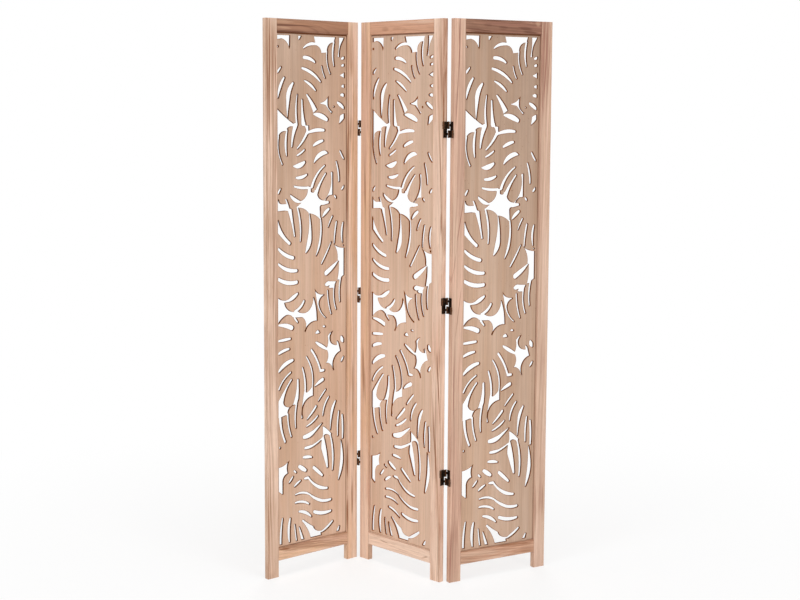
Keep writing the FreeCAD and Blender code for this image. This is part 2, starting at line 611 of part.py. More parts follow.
def slit_face(spine):
    """Slit of changing width along its spine, with round ends."""
    points = [grid_point(place) for place in spine]
    widths = [place[2] * COLUMN for place in spine]
    directions = slit_directions(points)
    left_side = []
    right_side = []
    for point, width, direction in zip(points, widths, directions):
        across = AXIS_Y.cross(direction) * width / 2
        left_side.append(point + across)
        right_side.append(point - across)
    end_tip = points[-1] + directions[-1] * widths[-1] / 2
    start_tip = points[0] - directions[0] * widths[0] / 2
    outline = left_side + [end_tip] + right_side[::-1] + [start_tip, left_side[0]]
    edges = []
    for first in range(0, len(outline) - 2, 2):
        edges.append(curve_through(*outline[first:first + 3]).toShape())
    return Part.Face(Part.Wire(edges))


def gap_face(outline):
    """Gap between leaves: straight sides, and arcs where the outline has a point to pass through."""
    places = list(outline)
    if places[0] != places[-1]:
        places.append(places[0])
    edges = []
    start = grid_point(places.pop(0))
    while places:
        place = places.pop(0)
        if place == VIA:
            middle = grid_point(places.pop(0))
            end = grid_point(places.pop(0))
            edges.append(curve_through(start, middle, end).toShape())
        else:
            end = grid_point(place)
            edges.append(Part.LineSegment(start, end).toShape())
        start = end
    return Part.Face(Part.Wire(edges))


def dot_face(column, row, diameter):
    """Round hole."""
    circle = Part.Circle(grid_point((column, row)), AXIS_Y, diameter * COLUMN / 2)
    return Part.Face(Part.Wire(circle.toShape()))


def flat_rectangle(left, bottom, right, top):
    """Upright rectangle at Y zero."""
    corners = [Vector(left, 0, bottom), Vector(right, 0, bottom), Vector(right, 0, top), Vector(left, 0, top)]
    return Part.Face(Part.makePolygon(corners + corners[:1]))


def sheet_shape():
    """The whole pierced sheet as one holed face, thickened from front to back."""
    cuts = [slit_face(spine) for leaf in SLIT_SHARES.values() for spine in leaf]
    cuts += [gap_face(outline) for region in GAP_SHARES.values() for outline in region]
    cuts += [dot_face(*dot) for dot in DOT_SHARES]
    low_corner = grid_point(WINDOW_SHARES[:2])
    high_corner = grid_point(WINDOW_SHARES[2:])
    window = flat_rectangle(low_corner.x, low_corner.z, high_corner.x, high_corner.z)
    pierced = cuts[0].multiFuse(cuts[1:]).common(window)
    side = OPENING_WIDTH / 2 + size("groove_depth") - size("groove_play")
    lower = OPENING_BOTTOM - size("groove_depth")
    upper = OPENING_BOTTOM + OPENING_HEIGHT + size("groove_depth") - size("groove_play")
    holed = flat_rectangle(-side, lower, side, upper).cut(pierced)
    holed.translate(Vector(0, -size("sheet_thickness") / 2, 0))
    return holed.Faces[0].extrude(Vector(0, size("sheet_thickness"), 0))


# Places in the flat pose, where the three panels stand in line and the middle panel is at the origin

PANEL_PITCH = size("panel_width") + size("fold_gap")
PIN_LINE = size("frame_thickness") / 2 + size("pin_standout")
HINGE_HALF = (size("hinge_height") - size("half_gap")) / 2
KNUCKLE = (HINGE_HALF - 2 * size("knuckle_play")) / KNUCKLES_PER_HALF
HINGE_LEVELS = {
    "top": size("screen_height") - size("hinge_inset"),
    "middle": size("screen_height") / 2,
    "bottom": size("hinge_inset"),
}
PANEL_CENTRES = {"left": -PANEL_PITCH, "middle": 0, "right": PANEL_PITCH}
FOLD_LINES = {"left": -PANEL_PITCH / 2, "right": PANEL_PITCH / 2}
FACING_RIGHT = Rotation()
FACING_LEFT = Rotation(AXIS_Z, HALF_TURN)
UPSIDE_DOWN = Rotation(AXIS_Y, HALF_TURN)


def turned_about(x, y, angle):
    """Turn about the upright line at one place."""
    return Placement(Vector(), Rotation(AXIS_Z, angle), Vector(x, y, 0))


LEFT_FOLD = turned_about(FOLD_LINES["left"], -PIN_LINE, size("left_fold_angle"))
RIGHT_FOLD = turned_about(FOLD_LINES["right"], PIN_LINE, size("right_fold_angle"))
MOTIONS = {
    "left_panel": LEFT_FOLD,
    "left_upper_links": Placement(),
    "left_lower_links": LEFT_FOLD,
    "middle_panel": Placement(),
    "right_panel": RIGHT_FOLD,
    "right_upper_links": Placement(),
    "right_lower_links": RIGHT_FOLD,
}
STAND = Placement(Vector(), Rotation(AXIS_Z, -size("middle_turn_angle")))

pieces = []


def stand_piece(piece, body_name, flat_place):
    """Place one sub-part where its body stands in the zigzag."""
    piece.Placement = STAND * MOTIONS[body_name] * flat_place
    pieces.append((piece, body_name))


def place_copy(pattern, label, body_name, flat_place):
    """One sub-part that repeats a pattern body."""
    body = new_body(label)
    copy = doc.addObject("PartDesign::FeatureBase", label + "_copy")
    body.Group = [copy]
    copy.BaseFeature = pattern
    copy.Placement = pattern.Placement
    body.Tip = copy
    stand_piece(body, body_name, flat_place)


def place_shape(shape, label, body_name, flat_place):
    """One sub-part whose shape is made outright."""
    piece = doc.addObject("Part::Feature", label)
    piece.Label = label
    piece.Shape = shape
    stand_piece(piece, body_name, flat_place)


def upright_pin(radius, length, x, y, start):
    """Round pin from its lower end."""
    return Part.makeCylinder(radius, length, Vector(x, y, start))


def dowel_shape():
    """The eight dowels of one frame, in the panel's own place."""
    radius = size("dowel_diameter") / 2
    length = size("dowel_length")
    spacing = size("dowel_spacing")
    groove = size("groove_depth")
    bottom_low = size("foot_clearance") + (size("bottom_rail_depth") - groove - spacing) / 2
    top_low = size("screen_height") - (size("top_rail_depth") - groove + spacing) / 2
    dowels = []
    for joint in (-OPENING_WIDTH / 2, OPENING_WIDTH / 2):
        for level in (bottom_low, bottom_low + spacing, top_low, top_low + spacing):
            start = Vector(joint - length / 2, 0, level)
            dowels.append(Part.makeCylinder(radius, length, start, AXIS_X))
    return Part.makeCompound(dowels)


def screws_shape(screw, edges):
    """The hinge screws of a panel; an edge is (place of the leaf's outer face, facing)."""
    screws = []
    for x, facing in edges:
        for level in HINGE_LEVELS.values():
            for across in (-size("screw_spread") / 2, size("screw_spread") / 2):
                for rise in (-size("screw_rise") / 2, size("screw_rise") / 2):
                    copy = screw.copy()
                    copy.Placement = Placement(Vector(x, across, level + rise), facing)
                    screws.append(copy)
    return Part.makeCompound(screws)


def through_pins(fold, half_start, lines):
    """Full-length pins of one fold's links, standing past the knuckles at both ends."""
    overhang = size("pin_overhang")
    pins = []
    for level in HINGE_LEVELS.values():
        for y in lines:
            start = level + half_start - overhang
            length = HINGE_HALF + 2 * overhang
            pins.append(upright_pin(size("pin_diameter") / 2, length, FOLD_LINES[fold], y, start))
    return pins


def link_stubs(fold, line):
    """Short pins in the lower links' outer knuckles, where the linkage is left open."""
    radius = size("pin_diameter") / 2
    overhang = size("pin_overhang")
    stubs = []
    for level in HINGE_LEVELS.values():
        low = level - size("hinge_height") / 2
        for start in (low - overhang, low + HINGE_HALF - KNUCKLE):
            stubs.append(upright_pin(radius, KNUCKLE + overhang, FOLD_LINES[fold], line, start))
    return stubs


def panel_stubs(fold, line):
    """Short pins that fill the middle panel's own knuckles at the open pivot of one fold."""
    radius = size("pin_diameter") / 2 + size("pin_play")
    stubs = []
    for level in HINGE_LEVELS.values():
        start = level - size("hinge_height") / 2 + KNUCKLE + size("knuckle_play")
        stubs.append(upright_pin(radius, KNUCKLE, FOLD_LINES[fold], line, start))
    return stubs


plain_stile = stile_pattern("plain_stile", False)
hinge_stile = stile_pattern("hinge_stile", True)
bottom_rail = rail_pattern("bottom_rail", "bottom_rail_depth")
top_rail = rail_pattern("top_rail", "top_rail_depth")
hinge_leaf = leaf_pattern("hinge_leaf")
hinge_link = link_pattern("hinge_link")
hinge_screw = screw_pattern("hinge_screw")
doc.recompute()
pierced = sheet_shape()
dowels = dowel_shape()

# Frames and sheets
STILES = {
    "left": (plain_stile, hinge_stile),
    "middle": (hinge_stile, hinge_stile),
    "right": (hinge_stile, plain_stile),
}
for side, centre in PANEL_CENTRES.items():
    panel = side + "_panel"
    half = size("panel_width") / 2
    left_stile, right_stile = STILES[side]
    stile_place = Placement(Vector(centre - half, 0, 0), FACING_RIGHT)
    place_copy(left_stile, panel + "_left_stile", panel, stile_place)
    stile_place = Placement(Vector(centre + half, 0, 0), FACING_LEFT)
    place_copy(right_stile, panel + "_right_stile", panel, stile_place)
    rail_place = Placement(Vector(centre, 0, size("foot_clearance")), FACING_RIGHT)
    place_copy(bottom_rail, panel + "_bottom_rail", panel, rail_place)
    rail_place = Placement(Vector(centre, 0, size("screen_height")), UPSIDE_DOWN)
    place_copy(top_rail, panel + "_top_rail", panel, rail_place)
    place_shape(pierced, panel + "_pierced_sheet", panel, Placement(Vector(centre, 0, 0), FACING_RIGHT))
    place_shape(dowels, panel + "_dowels", panel, Placement(Vector(centre, 0, 0), FACING_RIGHT))

# Hinges: at each fold the left leaf is on the panel to the left
NEIGHBOURS = {"left": ("left_panel", "middle_panel"), "right": ("middle_panel", "right_panel")}
for fold, (left_body, right_body) in NEIGHBOURS.items():
    for level, height in HINGE_LEVELS.items():
        name = fold + "_fold_" + level + "_hinge"
        centre = Vector(FOLD_LINES[fold], 0, height)
        place_copy(hinge_leaf, name + "_left_leaf", left_body, Placement(centre, FACING_RIGHT))
        place_copy(hinge_leaf, name + "_right_leaf", right_body, Placement(centre, FACING_LEFT))
        upper = centre + Vector(0, 0, size("half_gap") / 2)
        place_copy(hinge_link, name + "_upper_link", fold + "_upper_links", Placement(upper, FACING_RIGHT))
        lower = centre - Vector(0, 0, size("hinge_height") / 2)
        place_copy(hinge_link, name + "_lower_link", fold + "_lower_links", Placement(lower, FACING_RIGHT))

# Pins: the lower links are left open at the pivot on the middle panel
UPPER_START_LEVEL = size("half_gap") / 2
LOWER_START_LEVEL = -size("hinge_height") / 2
OPEN_LINES = {"left": -PIN_LINE, "right": PIN_LINE}
middle_stubs = []
for fold, open_line in OPEN_LINES.items():
    upper_pins = through_pins(fold, UPPER_START_LEVEL, (-PIN_LINE, PIN_LINE))
    place_shape(Part.makeCompound(upper_pins), fold + "_upper_link_pins", fold + "_upper_links", Placement())
    lower_pins = through_pins(fold, LOWER_START_LEVEL, (-open_line,)) + link_stubs(fold, open_line)
    place_shape(Part.makeCompound(lower_pins), fold + "_lower_link_pins", fold + "_lower_links", Placement())
    middle_stubs += panel_stubs(fold, open_line)
place_shape(Part.makeCompound(middle_stubs), "middle_panel_stub_pins", "middle_panel", Placement())

# Screws: heads flush with the outer faces of the leaves
LEAF_FACE = size("fold_gap") / 2 - size("leaf_thickness")
SCREW_EDGES = {
    "left_panel": ((FOLD_LINES["left"] - LEAF_FACE, FACING_RIGHT),),
    "middle_panel": (
        (FOLD_LINES["left"] + LEAF_FACE, FACING_LEFT),
        (FOLD_LINES["right"] - LEAF_FACE, FACING_RIGHT),
    ),
    "right_panel": ((FOLD_LINES["right"] + LEAF_FACE, FACING_LEFT),),
}
for panel, edges in SCREW_EDGES.items():
    place_shape(screws_shape(hinge_screw.Shape, edges), panel + "_hinge_screws", panel, Placement())

# The origin is on the floor, under the middle of the standing screen
doc.recompute()
around = Part.makeCompound([piece.Shape for piece, _ in pieces]).BoundBox
to_origin = Placement(Vector(-around.Center.x, -around.Center.y, -around.ZMin), Rotation())
for piece, _ in pieces:
    piece.Placement = to_origin * piece.Placement
doc.recompute()

for thing in doc.Objects:
    if "Invalid" in thing.State or "Error" in thing.State:
        raise RuntimeError(thing.Label + " failed to build")
for piece, _ in pieces:
    if piece.Shape.isNull() or not piece.Shape.isValid():
        raise RuntimeError(piece.Label + " has no valid shape")

os.makedirs("parts", exist_ok=True)
for piece, body_name in pieces:
    piece.Shape.exportStep("parts/" + piece.Label + ".step")
    print(body_name, piece.Label, len(piece.Shape.Solids), "solids, volume", round(piece.Shape.Volume))

# Where the pin lines stand, for the joints
for name, fold, line, motion in (
    ("middle panel's pins of the left reverse fold", "left", PIN_LINE, Placement()),
    ("left wing's pins of the left fold", "left", -PIN_LINE, LEFT_FOLD),
    ("left wing's pins of the lower links", "left", PIN_LINE, LEFT_FOLD),
    ("middle panel's pins of the right reverse fold", "right", -PIN_LINE, Placement()),
    ("right wing's pins of the right fold", "right", PIN_LINE, RIGHT_FOLD),
    ("right wing's pins of the lower links", "right", -PIN_LINE, RIGHT_FOLD),
):
    place = (to_origin * STAND * motion).multVec(Vector(FOLD_LINES[fold], line, 0))
    print(name, round(place.x, 4), round(place.y, 4))
foot = (to_origin * STAND).multVec(Vector((size("stile_width") - size("panel_width")) / 2, 0, 0))
print("middle panel's left foot", round(foot.x, 4), round(foot.y, 4), round(foot.z, 4))
print("box", around.XLength, around.YLength, around.ZLength)
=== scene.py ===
"""A three-panel folding screen of bare wood with pierced leaf sheets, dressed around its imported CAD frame."""

import json
import math
from collections import namedtuple

import bmesh
import bpy
from mathutils import Matrix, Vector


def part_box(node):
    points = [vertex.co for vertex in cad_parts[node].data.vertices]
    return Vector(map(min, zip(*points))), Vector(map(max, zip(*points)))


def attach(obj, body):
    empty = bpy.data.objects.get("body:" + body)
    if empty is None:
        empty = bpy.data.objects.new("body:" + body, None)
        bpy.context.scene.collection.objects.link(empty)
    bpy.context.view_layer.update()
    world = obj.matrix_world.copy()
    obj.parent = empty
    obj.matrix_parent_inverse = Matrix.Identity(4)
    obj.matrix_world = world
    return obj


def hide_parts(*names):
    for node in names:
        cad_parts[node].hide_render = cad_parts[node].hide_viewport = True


bl_info = {
    "name": "Pierced Leaf Screen",
    "version": (1, 0, 0),
    "blender": (4, 5, 0),
    "location": "3D View > Sidebar > Screen",
    "description": "Wood, hinges, screws and studio for a three-panel folding screen",
    "category": "Object",
}

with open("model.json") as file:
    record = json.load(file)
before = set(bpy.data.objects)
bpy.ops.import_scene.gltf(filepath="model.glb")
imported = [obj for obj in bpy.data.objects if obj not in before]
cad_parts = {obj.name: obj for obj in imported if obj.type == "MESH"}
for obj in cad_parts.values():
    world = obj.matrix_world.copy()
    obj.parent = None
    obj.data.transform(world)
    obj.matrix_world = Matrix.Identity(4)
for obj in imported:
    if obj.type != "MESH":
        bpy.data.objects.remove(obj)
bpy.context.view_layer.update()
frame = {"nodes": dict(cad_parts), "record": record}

SIDES = ("left", "middle", "right")
FOLDS = ("left", "right")
HEIGHTS = ("top", "middle", "bottom")

MM = 0.001
STILE_WIDTH = 40 * MM
RAIL_DEPTH = 39 * MM

# Vertices that lie closer than this are one
WELD = 0.002 * MM

# A face of a sheet is flat where its normal leans less from the sheet's own than this cosine says
FLAT = 0.9


def shade(red, green, blue):
    """A display colour, 0 to 255 a channel, as a linear colour."""

    def linear(level):
        part = level / 255
        return part / 12.92 if part <= 0.04045 else ((part + 0.055) / 1.055) ** 2.4

    return (linear(red), linear(green), linear(blue), 1.0)


# Settings that a user would change


def colour_setting(name, text, default):
    return bpy.props.FloatVectorProperty(
        name=name, description=text, default=default, size=4, min=0, max=1, subtype="COLOR"
    )


def strength_setting(name, text, default, **more):
    return bpy.props.FloatProperty(name=name, description=text, default=default, min=0, **more)


def length_setting(name, text, default):
    return strength_setting(name, text, default, precision=5, unit="LENGTH", subtype="DISTANCE")


def share_setting(name, text, default):
    return strength_setting(name, text, default, max=1, subtype="FACTOR")


class WoodSettings(bpy.types.PropertyGroup):
    """Colours and figure of the boards."""

    pale: colour_setting("Pale Wood", "Sapwood, the lightest tone of the frames", shade(232, 203, 182))
    rose: colour_setting("Rose Wood", "Pinkish tone of the frames", shade(214, 176, 153))
    tan: colour_setting("Tan Wood", "Yellower tone of the frames", shade(222, 184, 152))
    ruddy: colour_setting("Ruddy Wood", "Redder, deeper tone of the frames", shade(203, 156, 129))
    grey: colour_setting("Grey Wood", "Greyer tone of the frames", shade(204, 172, 149))
    brown: colour_setting("Brown Streak", "Darkest part of a streak in a frame", shade(140, 92, 60))
    dark_rail: colour_setting("Dark Rail", "Heartwood of the wings' top rails", shade(160, 118, 93))
    warm_rail: colour_setting("Warm Rail", "Second tone of the left wing's top rail", shade(174, 127, 98))
    plum_rail: colour_setting("Plum Rail", "Second tone of the right wing's top rail", shade(149, 103, 84))
    dark_figure: colour_setting("Dark Figure", "Figure lines of the wings' top rails", shade(104, 64, 46))
    sheet: colour_setting("Sheet", "Face of the pierced sheets", shade(197, 163, 138))
    sheet_pale: colour_setting("Sheet, Pale", "Paler bands of the pierced sheets", shade(209, 180, 159))
    # Also the colour of the painted shade where each sheet goes into its frame
    scorch: colour_setting("Scorched Edge", "Walls of the cut-outs", shade(92, 46, 14))
    singed: colour_setting("Singed Rim", "Browned faces round the cut-outs", shade(132, 75, 27))
    end_grain: colour_setting("End Grain", "Tops and feet of the stiles", shade(178, 136, 108))
    ring_spacing: length_setting("Ring Spacing", "Distance between growth rings", 3.6 * MM)
    ring_contrast: share_setting("Ring Contrast", "How dark the late wood of a ring is", 0.55)
    line_contrast: share_setting("Line Contrast", "How dark the long lines between the rings are", 0.42)
    fibre_contrast: share_setting("Fibre Contrast", "How strong the fine fibres are", 0.3)
    relief: length_setting("Grain Relief", "Height of the grain's bump", 0.12 * MM)
    rim_width: length_setting("Scorched Rim", "Width of the brown rim round each cut-out", 1.9 * MM)


class HingeSettings(bpy.types.PropertyGroup):
    """Finish of the hinges and sizes of their screws."""

    metal: colour_setting("Hinge Metal", "Darkened steel of the hinges", shade(22, 14, 7))
    # Worn bronze, and also the painted highlight on the knuckles and rounded edges
    worn: colour_setting("Worn Metal", "Bronze tone of knuckles and rubbed edges", shade(86, 52, 28))
    steel: colour_setting("Screw Steel", "Bare metal in the screws' slots", shade(88, 80, 72))
    edge_radius: length_setting("Edge Radius", "Rounding of the hinges' pressed edges", 0.16 * MM)
    head_diameter: length_setting("Screw Head", "Diameter of a countersunk head", 4.4 * MM)
    head_depth: length_setting("Head Depth", "Depth of the countersunk cone", 1.15 * MM)
    shank_diameter: length_setting("Screw Shank", "Diameter of the shank", 2.4 * MM)
    slot_width: length_setting("Slot Width", "Width of the driving slot", 0.7 * MM)
    slot_depth: length_setting("Slot Depth", "Depth of the driving slot", 0.8 * MM)
    thread_pitch: length_setting("Thread Pitch", "Distance between the thread's turns", 1.1 * MM)


class StageSettings(bpy.types.PropertyGroup):
    """Floor, light and camera."""

    floor_colour: colour_setting("Floor", "Plain pale floor", (0.95, 0.95, 0.95, 1.0))
    floor_reach: length_setting("Floor Reach", "Half the floor's side", 40.0)
    sky: strength_setting("Sky", "Strength of the even light", 0.44)
    lamp: strength_setting("Lamps", "Power of each soft lamp in watts", 190.0)
    shadow_reach: length_setting("Shadow Reach", "How far from the screen its shadow still shows", 2.2)


def tone(name):
    """A colour of the wood settings, or else of the hinge settings."""
    scene = bpy.context.scene
    group = scene.screen_wood if hasattr(scene.screen_wood, name) else scene.screen_hinge
    return tuple(getattr(group, name))


# Node trees


class Value:
    """A socket of a node tree. Arithmetic on it adds Math nodes."""

    def __init__(self, graph, socket):
        self.graph = graph
        self.socket = socket

    def __add__(self, other):
        return self.graph.math("ADD", self, other)

    def __radd__(self, other):
        return self.graph.math("ADD", other, self)

    def __sub__(self, other):
        return self.graph.math("SUBTRACT", self, other)

    def __rsub__(self, other):
        return self.graph.math("SUBTRACT", other, self)

    def __mul__(self, other):
        return self.graph.math("MULTIPLY", self, other)

    def __truediv__(self, other):
        return self.graph.math("DIVIDE", self, other)

    def __abs__(self):
        return self.graph.math("ABSOLUTE", self)


class Graph:
    """The node tree of a material, a world or a modifier, built from Python."""

    def __init__(self, tree):
        self.tree = tree
        tree.nodes.clear()

    def add(self, kind, settings, values, output=0):
        """Adds a node: its settings first, then the values or links of its sockets."""
        node = self.tree.nodes.new(kind)
        for name, setting in settings.items():
            if name == "stops":
                self.set_stops(node.color_ramp, setting)
            else:
                setattr(node, name, setting)
        for name, value in values.items():
            if isinstance(value, Value):
                self.tree.links.new(value.socket, node.inputs[name])
            else:
                node.inputs[name].default_value = value
        return Value(self, node.outputs[output]) if node.outputs else None

    def set_stops(self, ramp, stops):
        """Gives a colour ramp its grey stops."""
        ramp.interpolation = "EASE"
        while len(ramp.elements) > 1:
            ramp.elements.remove(ramp.elements[-1])
        ramp.elements[0].position = stops[0][0]
        ramp.elements[0].color = (stops[0][1],) * 3 + (1,)
        for at, level in stops[1:]:
            ramp.elements.new(at).color = (level,) * 3 + (1,)

    def math(self, operation, *values):
        return self.add("ShaderNodeMath", {"operation": operation}, dict(enumerate(values)))

    def mix(self, factor, low, high, blend="MIX"):
        settings = {"data_type": "RGBA", "blend_type": blend}
        return self.add("ShaderNodeMix", settings, {0: factor, 6: low, 7: high}, 2)

    def dim(self, colour, level):
        return self.mix(1.0, colour, level, "MULTIPLY")

    def ramp(self, value, stops):
        return self.add("ShaderNodeValToRGB", {"stops": stops}, {"Fac": value})

    def soft_step(self, value, low, high):
        settings = {"interpolation_type": "SMOOTHSTEP"}
        return self.add("ShaderNodeMapRange", settings, {"Value": value, "From Min": low, "From Max": high})

    def noise(self, vector, scale, seed, detail=2.0, roughness=0.5):
        """Noise with its own scale in waves a metre along each axis, moved to another place by its seed."""
        values = {0: vector, 1: scale, 2: (seed, seed * 1.7, seed * 2.3)}
        place = self.add("ShaderNodeVectorMath", {"operation": "MULTIPLY_ADD"}, values)
        values = {"Vector": place, "Scale": 1.0, "Detail": detail, "Roughness": roughness}
        return self.add("ShaderNodeTexNoise", {}, values)

    def figure(self, vector, kind, seed):
        """Noise from a row of one of the figure tables."""
        scale, more, detail, roughness = kind
        return self.noise(vector, scale, seed + more, detail, roughness)

    def coordinates(self, kind="Object"):
        return self.add("ShaderNodeTexCoord", {}, {}, kind)

    def join(self, x, y, z):
        return self.add("ShaderNodeCombineXYZ", {}, {0: x, 1: y, 2: z})

    def split(self, vector):
        split = self.add("ShaderNodeSeparateXYZ", {}, {0: vector})
        return [Value(self, socket) for socket in split.socket.node.outputs]

    def length(self, vector):
        return self.add("ShaderNodeVectorMath", {"operation": "LENGTH"}, {0: vector}, "Value")

    def surface(self, colour, rough, height, relief, more):
        """A Principled surface with a bump: the relief is the bump's strength and its distance."""
        strength, distance = relief
        bump = self.add("ShaderNodeBump", {}, {"Strength": strength, "Distance": distance, "Height": height})
        values = {"Base Color": colour, "Roughness": rough, "Normal": bump, **more}
        self.output(self.add("ShaderNodeBsdfPrincipled", {}, values))

    def output(self, shader):
        self.add("ShaderNodeOutputMaterial", {}, {"Surface": shader})


def new_material(name):
    """A material and the graph of its empty node tree."""
    material = bpy.data.materials.new(name)
    material.use_nodes = True
    return material, Graph(material.node_tree)


def new_object(name, data):
    """An object in the scene that holds the given mesh, lamp or camera."""
    made = bpy.data.objects.new(name, data)
    bpy.context.scene.collection.objects.link(made)
    return made


# Where a board lies


def centre_of(node):
    low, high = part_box(node)
    return (low + high) / 2


def panel_centre(side):
    return (centre_of(f"{side}_panel_left_stile") + centre_of(f"{side}_panel_right_stile")) / 2


def between_stiles(side):
    """From the middle of a panel's left stile to the middle of its right one."""
    return centre_of(f"{side}_panel_right_stile") - centre_of(f"{side}_panel_left_stile")


def panel_angle(side):
    """The panel's direction in plan, from its left stile to its right one."""
    across = between_stiles(side)
    return math.atan2(across.y, across.x)


def half_opening(side):
    """Half the distance between the inner edges of a panel's stiles."""
    across = between_stiles(side)
    return math.hypot(across.x, across.y) / 2 - STILE_WIDTH / 2


def panel_axes(side):
    """The directions along a panel's width and through its thickness."""
    angle = panel_angle(side)
    return Vector((math.cos(angle), math.sin(angle), 0)), Vector((-math.sin(angle), math.cos(angle), 0))


def side_of(node):
    return node.split("_")[0]


def is_level(node):
    return node.endswith("rail")


def board_vectors(graph, node):
    """Position and normal in the board's own directions: x across the grain, y through it, z along it."""
    turn = (0.0, math.pi / 2 if is_level(node) else 0.0, panel_angle(side_of(node)))
    place = {"vector_type": "TEXTURE"}
    where = {"Vector": graph.coordinates(), "Location": centre_of(node), "Rotation": turn}
    facing = {"Vector": graph.coordinates("Normal"), "Rotation": turn}
    return graph.add("ShaderNodeMapping", place, where), graph.add("ShaderNodeMapping", place, facing)


Board = namedtuple("Board", "tones heart slope rings lines seed streaks patches")
Sheet = namedtuple("Sheet", "pale levels sides corners burn seed")

# Wood of each board: its two tones and its streak tone, the place of its growth rings' centre in mm, the
# slope of its grain, the strength of its rings and of its lines, a seed, its streaks as place across, half
# width and strength, and its patches as place across and along and half sizes in mm, lean and strength, which
# is below zero where a patch is paler

STILES = {
    "left_panel_left_stile": Board(
        tones=("pale", "grey", "brown"), heart=(70, 20), slope=0.003, rings=0.55, lines=1.5, seed=1.3,
        streaks=((0.3, 0.06, 0.25), (0.5, 0.03, 0.2), (0.68, 0.03, 0.25), (0.9, 0.04, 0.15)),
        patches=(
            (-16, 740, 3, 120, 0, 0.9), (-9, 715, 3, 150, 0, 1.1), (-12, 600, 5, 110, 0, 0.6),
            (14, 700, 3, 70, 0, 0.5), (4, 760, 14, 90, 0, 0.38), (-13, 250, 4, 150, 0, 0.55),
            (-5, 120, 2, 140, 0, 0.4), (2, -170, 2, 220, 0.03, 0.4), (11, -60, 2, 160, 0.03, 0.35),
            (0, -300, 24, 500, 0, -0.25), (0, 300, 24, 170, 0, -0.4), (0, -740, 24, 130, 0, -0.4),
            (17, -700, 2, 60, 0, 0.7),
        ),
    ),
    "left_panel_right_stile": Board(
        tones=("tan", "pale", "brown"), heart=(-90, 30), slope=-0.002, rings=0.5, lines=0.8, seed=4.1,
        streaks=((0.3, 0.04, 0.12), (0.62, 0.05, 0.12)),
        patches=(
            # The patches at -18 mm across are painted shade along the stile's inner edge, next to the sheet
            (-18, 470, 2.5, 400, 0, 0.75), (-2, 610, 20, 150, 0, 0.05), (-8, 525, 10, 45, 0, 0.2),
            (-8, 760, 14, 90, 0, 0.4), (1, -295, 4, 110, 0, 0.65), (1, -640, 5, 80, 0, 0.65),
            (-18, -520, 3, 70, 0, 1), (-18, -700, 2.5, 60, 0, 1), (15, -620, 3, 80, 0, 0.5),
        ),
    ),
    "middle_panel_left_stile": Board(
        tones=("tan", "rose", "brown"), heart=(50, 22), slope=0.012, rings=0.35, lines=0.75, seed=7.7,
        streaks=((0.25, 0.06, 0.2), (0.8, 0.04, 0.15)),
        patches=(
            (-10, 715, 3, 130, 0.01, 0.45), (-3, 760, 2, 90, 0.01, 0.4), (0, 720, 22, 220, 0, -0.05),
            (7, 690, 2, 140, 0.01, 0.35), (-4, 400, 3, 130, -0.04, 0.4), (4, 300, 2, 110, -0.04, 0.3),
            (-6, -240, 6, 90, -0.03, 0.65), (2, -290, 5, 60, -0.03, 0.45), (17, -40, 2, 120, 0, 0.4),
            (0, -540, 22, 110, 0, -0.5), (0, -740, 24, 170, 0, -1.1),
        ),
    ),
    "middle_panel_right_stile": Board(
        tones=("pale", "rose", "brown"), heart=(-40, 26), slope=0.04, rings=0.5, lines=0.7, seed=11.2,
        streaks=((0.35, 0.1, -0.2),),
        patches=(
            (2, 380, 4, 420, -0.04, -1), (-8, 260, 12, 420, -0.03, -0.5), (12, 640, 9, 190, -0.02, 0.35),
            (23, 720, 5, 240, 0, 0.65), (23, 150, 4, 300, 0, 0.05), (14, 330, 3, 200, -0.04, 0.5),
            (14, 245, 3, 35, 0, 0.8), (6, -165, 14, 45, 0, 0.35), (8, -240, 2.5, 120, -0.069, 1.4),
            (-4, -420, 4, 150, -0.09, 0.45), (8, -560, 4, 200, -0.09, 0.4), (16, -760, 4, 130, 0, 0.4),
            (0, -420, 22, 150, 0, 0.3), (-4, -770, 6, 90, 0, -0.4), (0, -740, 24, 140, 0, 0.1),
            (-4, 10, 20, 150, 0, -0.6),
        ),
    ),
    "right_panel_left_stile": Board(
        tones=("rose", "grey", "plum_rail"), heart=(30, 18), slope=-0.016, rings=0.5, lines=0.8, seed=15.9,
        streaks=((0.7, 0.04, 0.12),),
        patches=(
            (-2, 820, 3, 50, 0.02, 0.8), (-6, 680, 2.2, 150, 0.05, 0.85), (-13, 590, 4, 60, 0.05, 0.45),
            (6, 250, 1.6, 90, 0.17, 0.9), (-11, 130, 2, 80, 0.17, 0.4), (2, -30, 1.6, 80, 0.13, 0.8),
            (-10, -210, 2, 160, 0, 0.75), (12, -140, 3, 160, 0.06, 0.3), (-4, -780, 20, 120, 0, 0.5),
            (16, 460, 2, 200, 0, 0.3), (0, -440, 22, 300, 0, 0.35), (0, 500, 22, 400, 0, 0.2),
        ),
    ),
    "right_panel_right_stile": Board(
        tones=("grey", "grey", "plum_rail"), heart=(-60, 24), slope=-0.03, rings=0.6, lines=1, seed=19.4,
        streaks=((0.3, 0.05, 0.2),),
        patches=(
            (-12, 690, 2.5, 190, 0.02, 0.6), (-4, 700, 2, 170, 0.03, 0.55), (3, 740, 2, 120, 0.03, 0.4),
            (-6, 740, 24, 210, 0, 0.5), (0, 360, 24, 280, 0, 0.12), (-16, 330, 4, 190, 0, 0.4),
            (4, 440, 5, 350, 0.03, -0.4), (6, 60, 12, 250, 0, -0.5), (1, -120, 5, 190, 0.02, 0.4),
            (4, -655, 9, 120, 0, 0.25), (0, -780, 24, 130, 0, -0.5), (9, -640, 2, 60, 0, 0.4),
            (-17, -660, 2.5, 90, 0, 0.8), (10, -420, 10, 150, 0, -0.4),
        ),
    ),
}

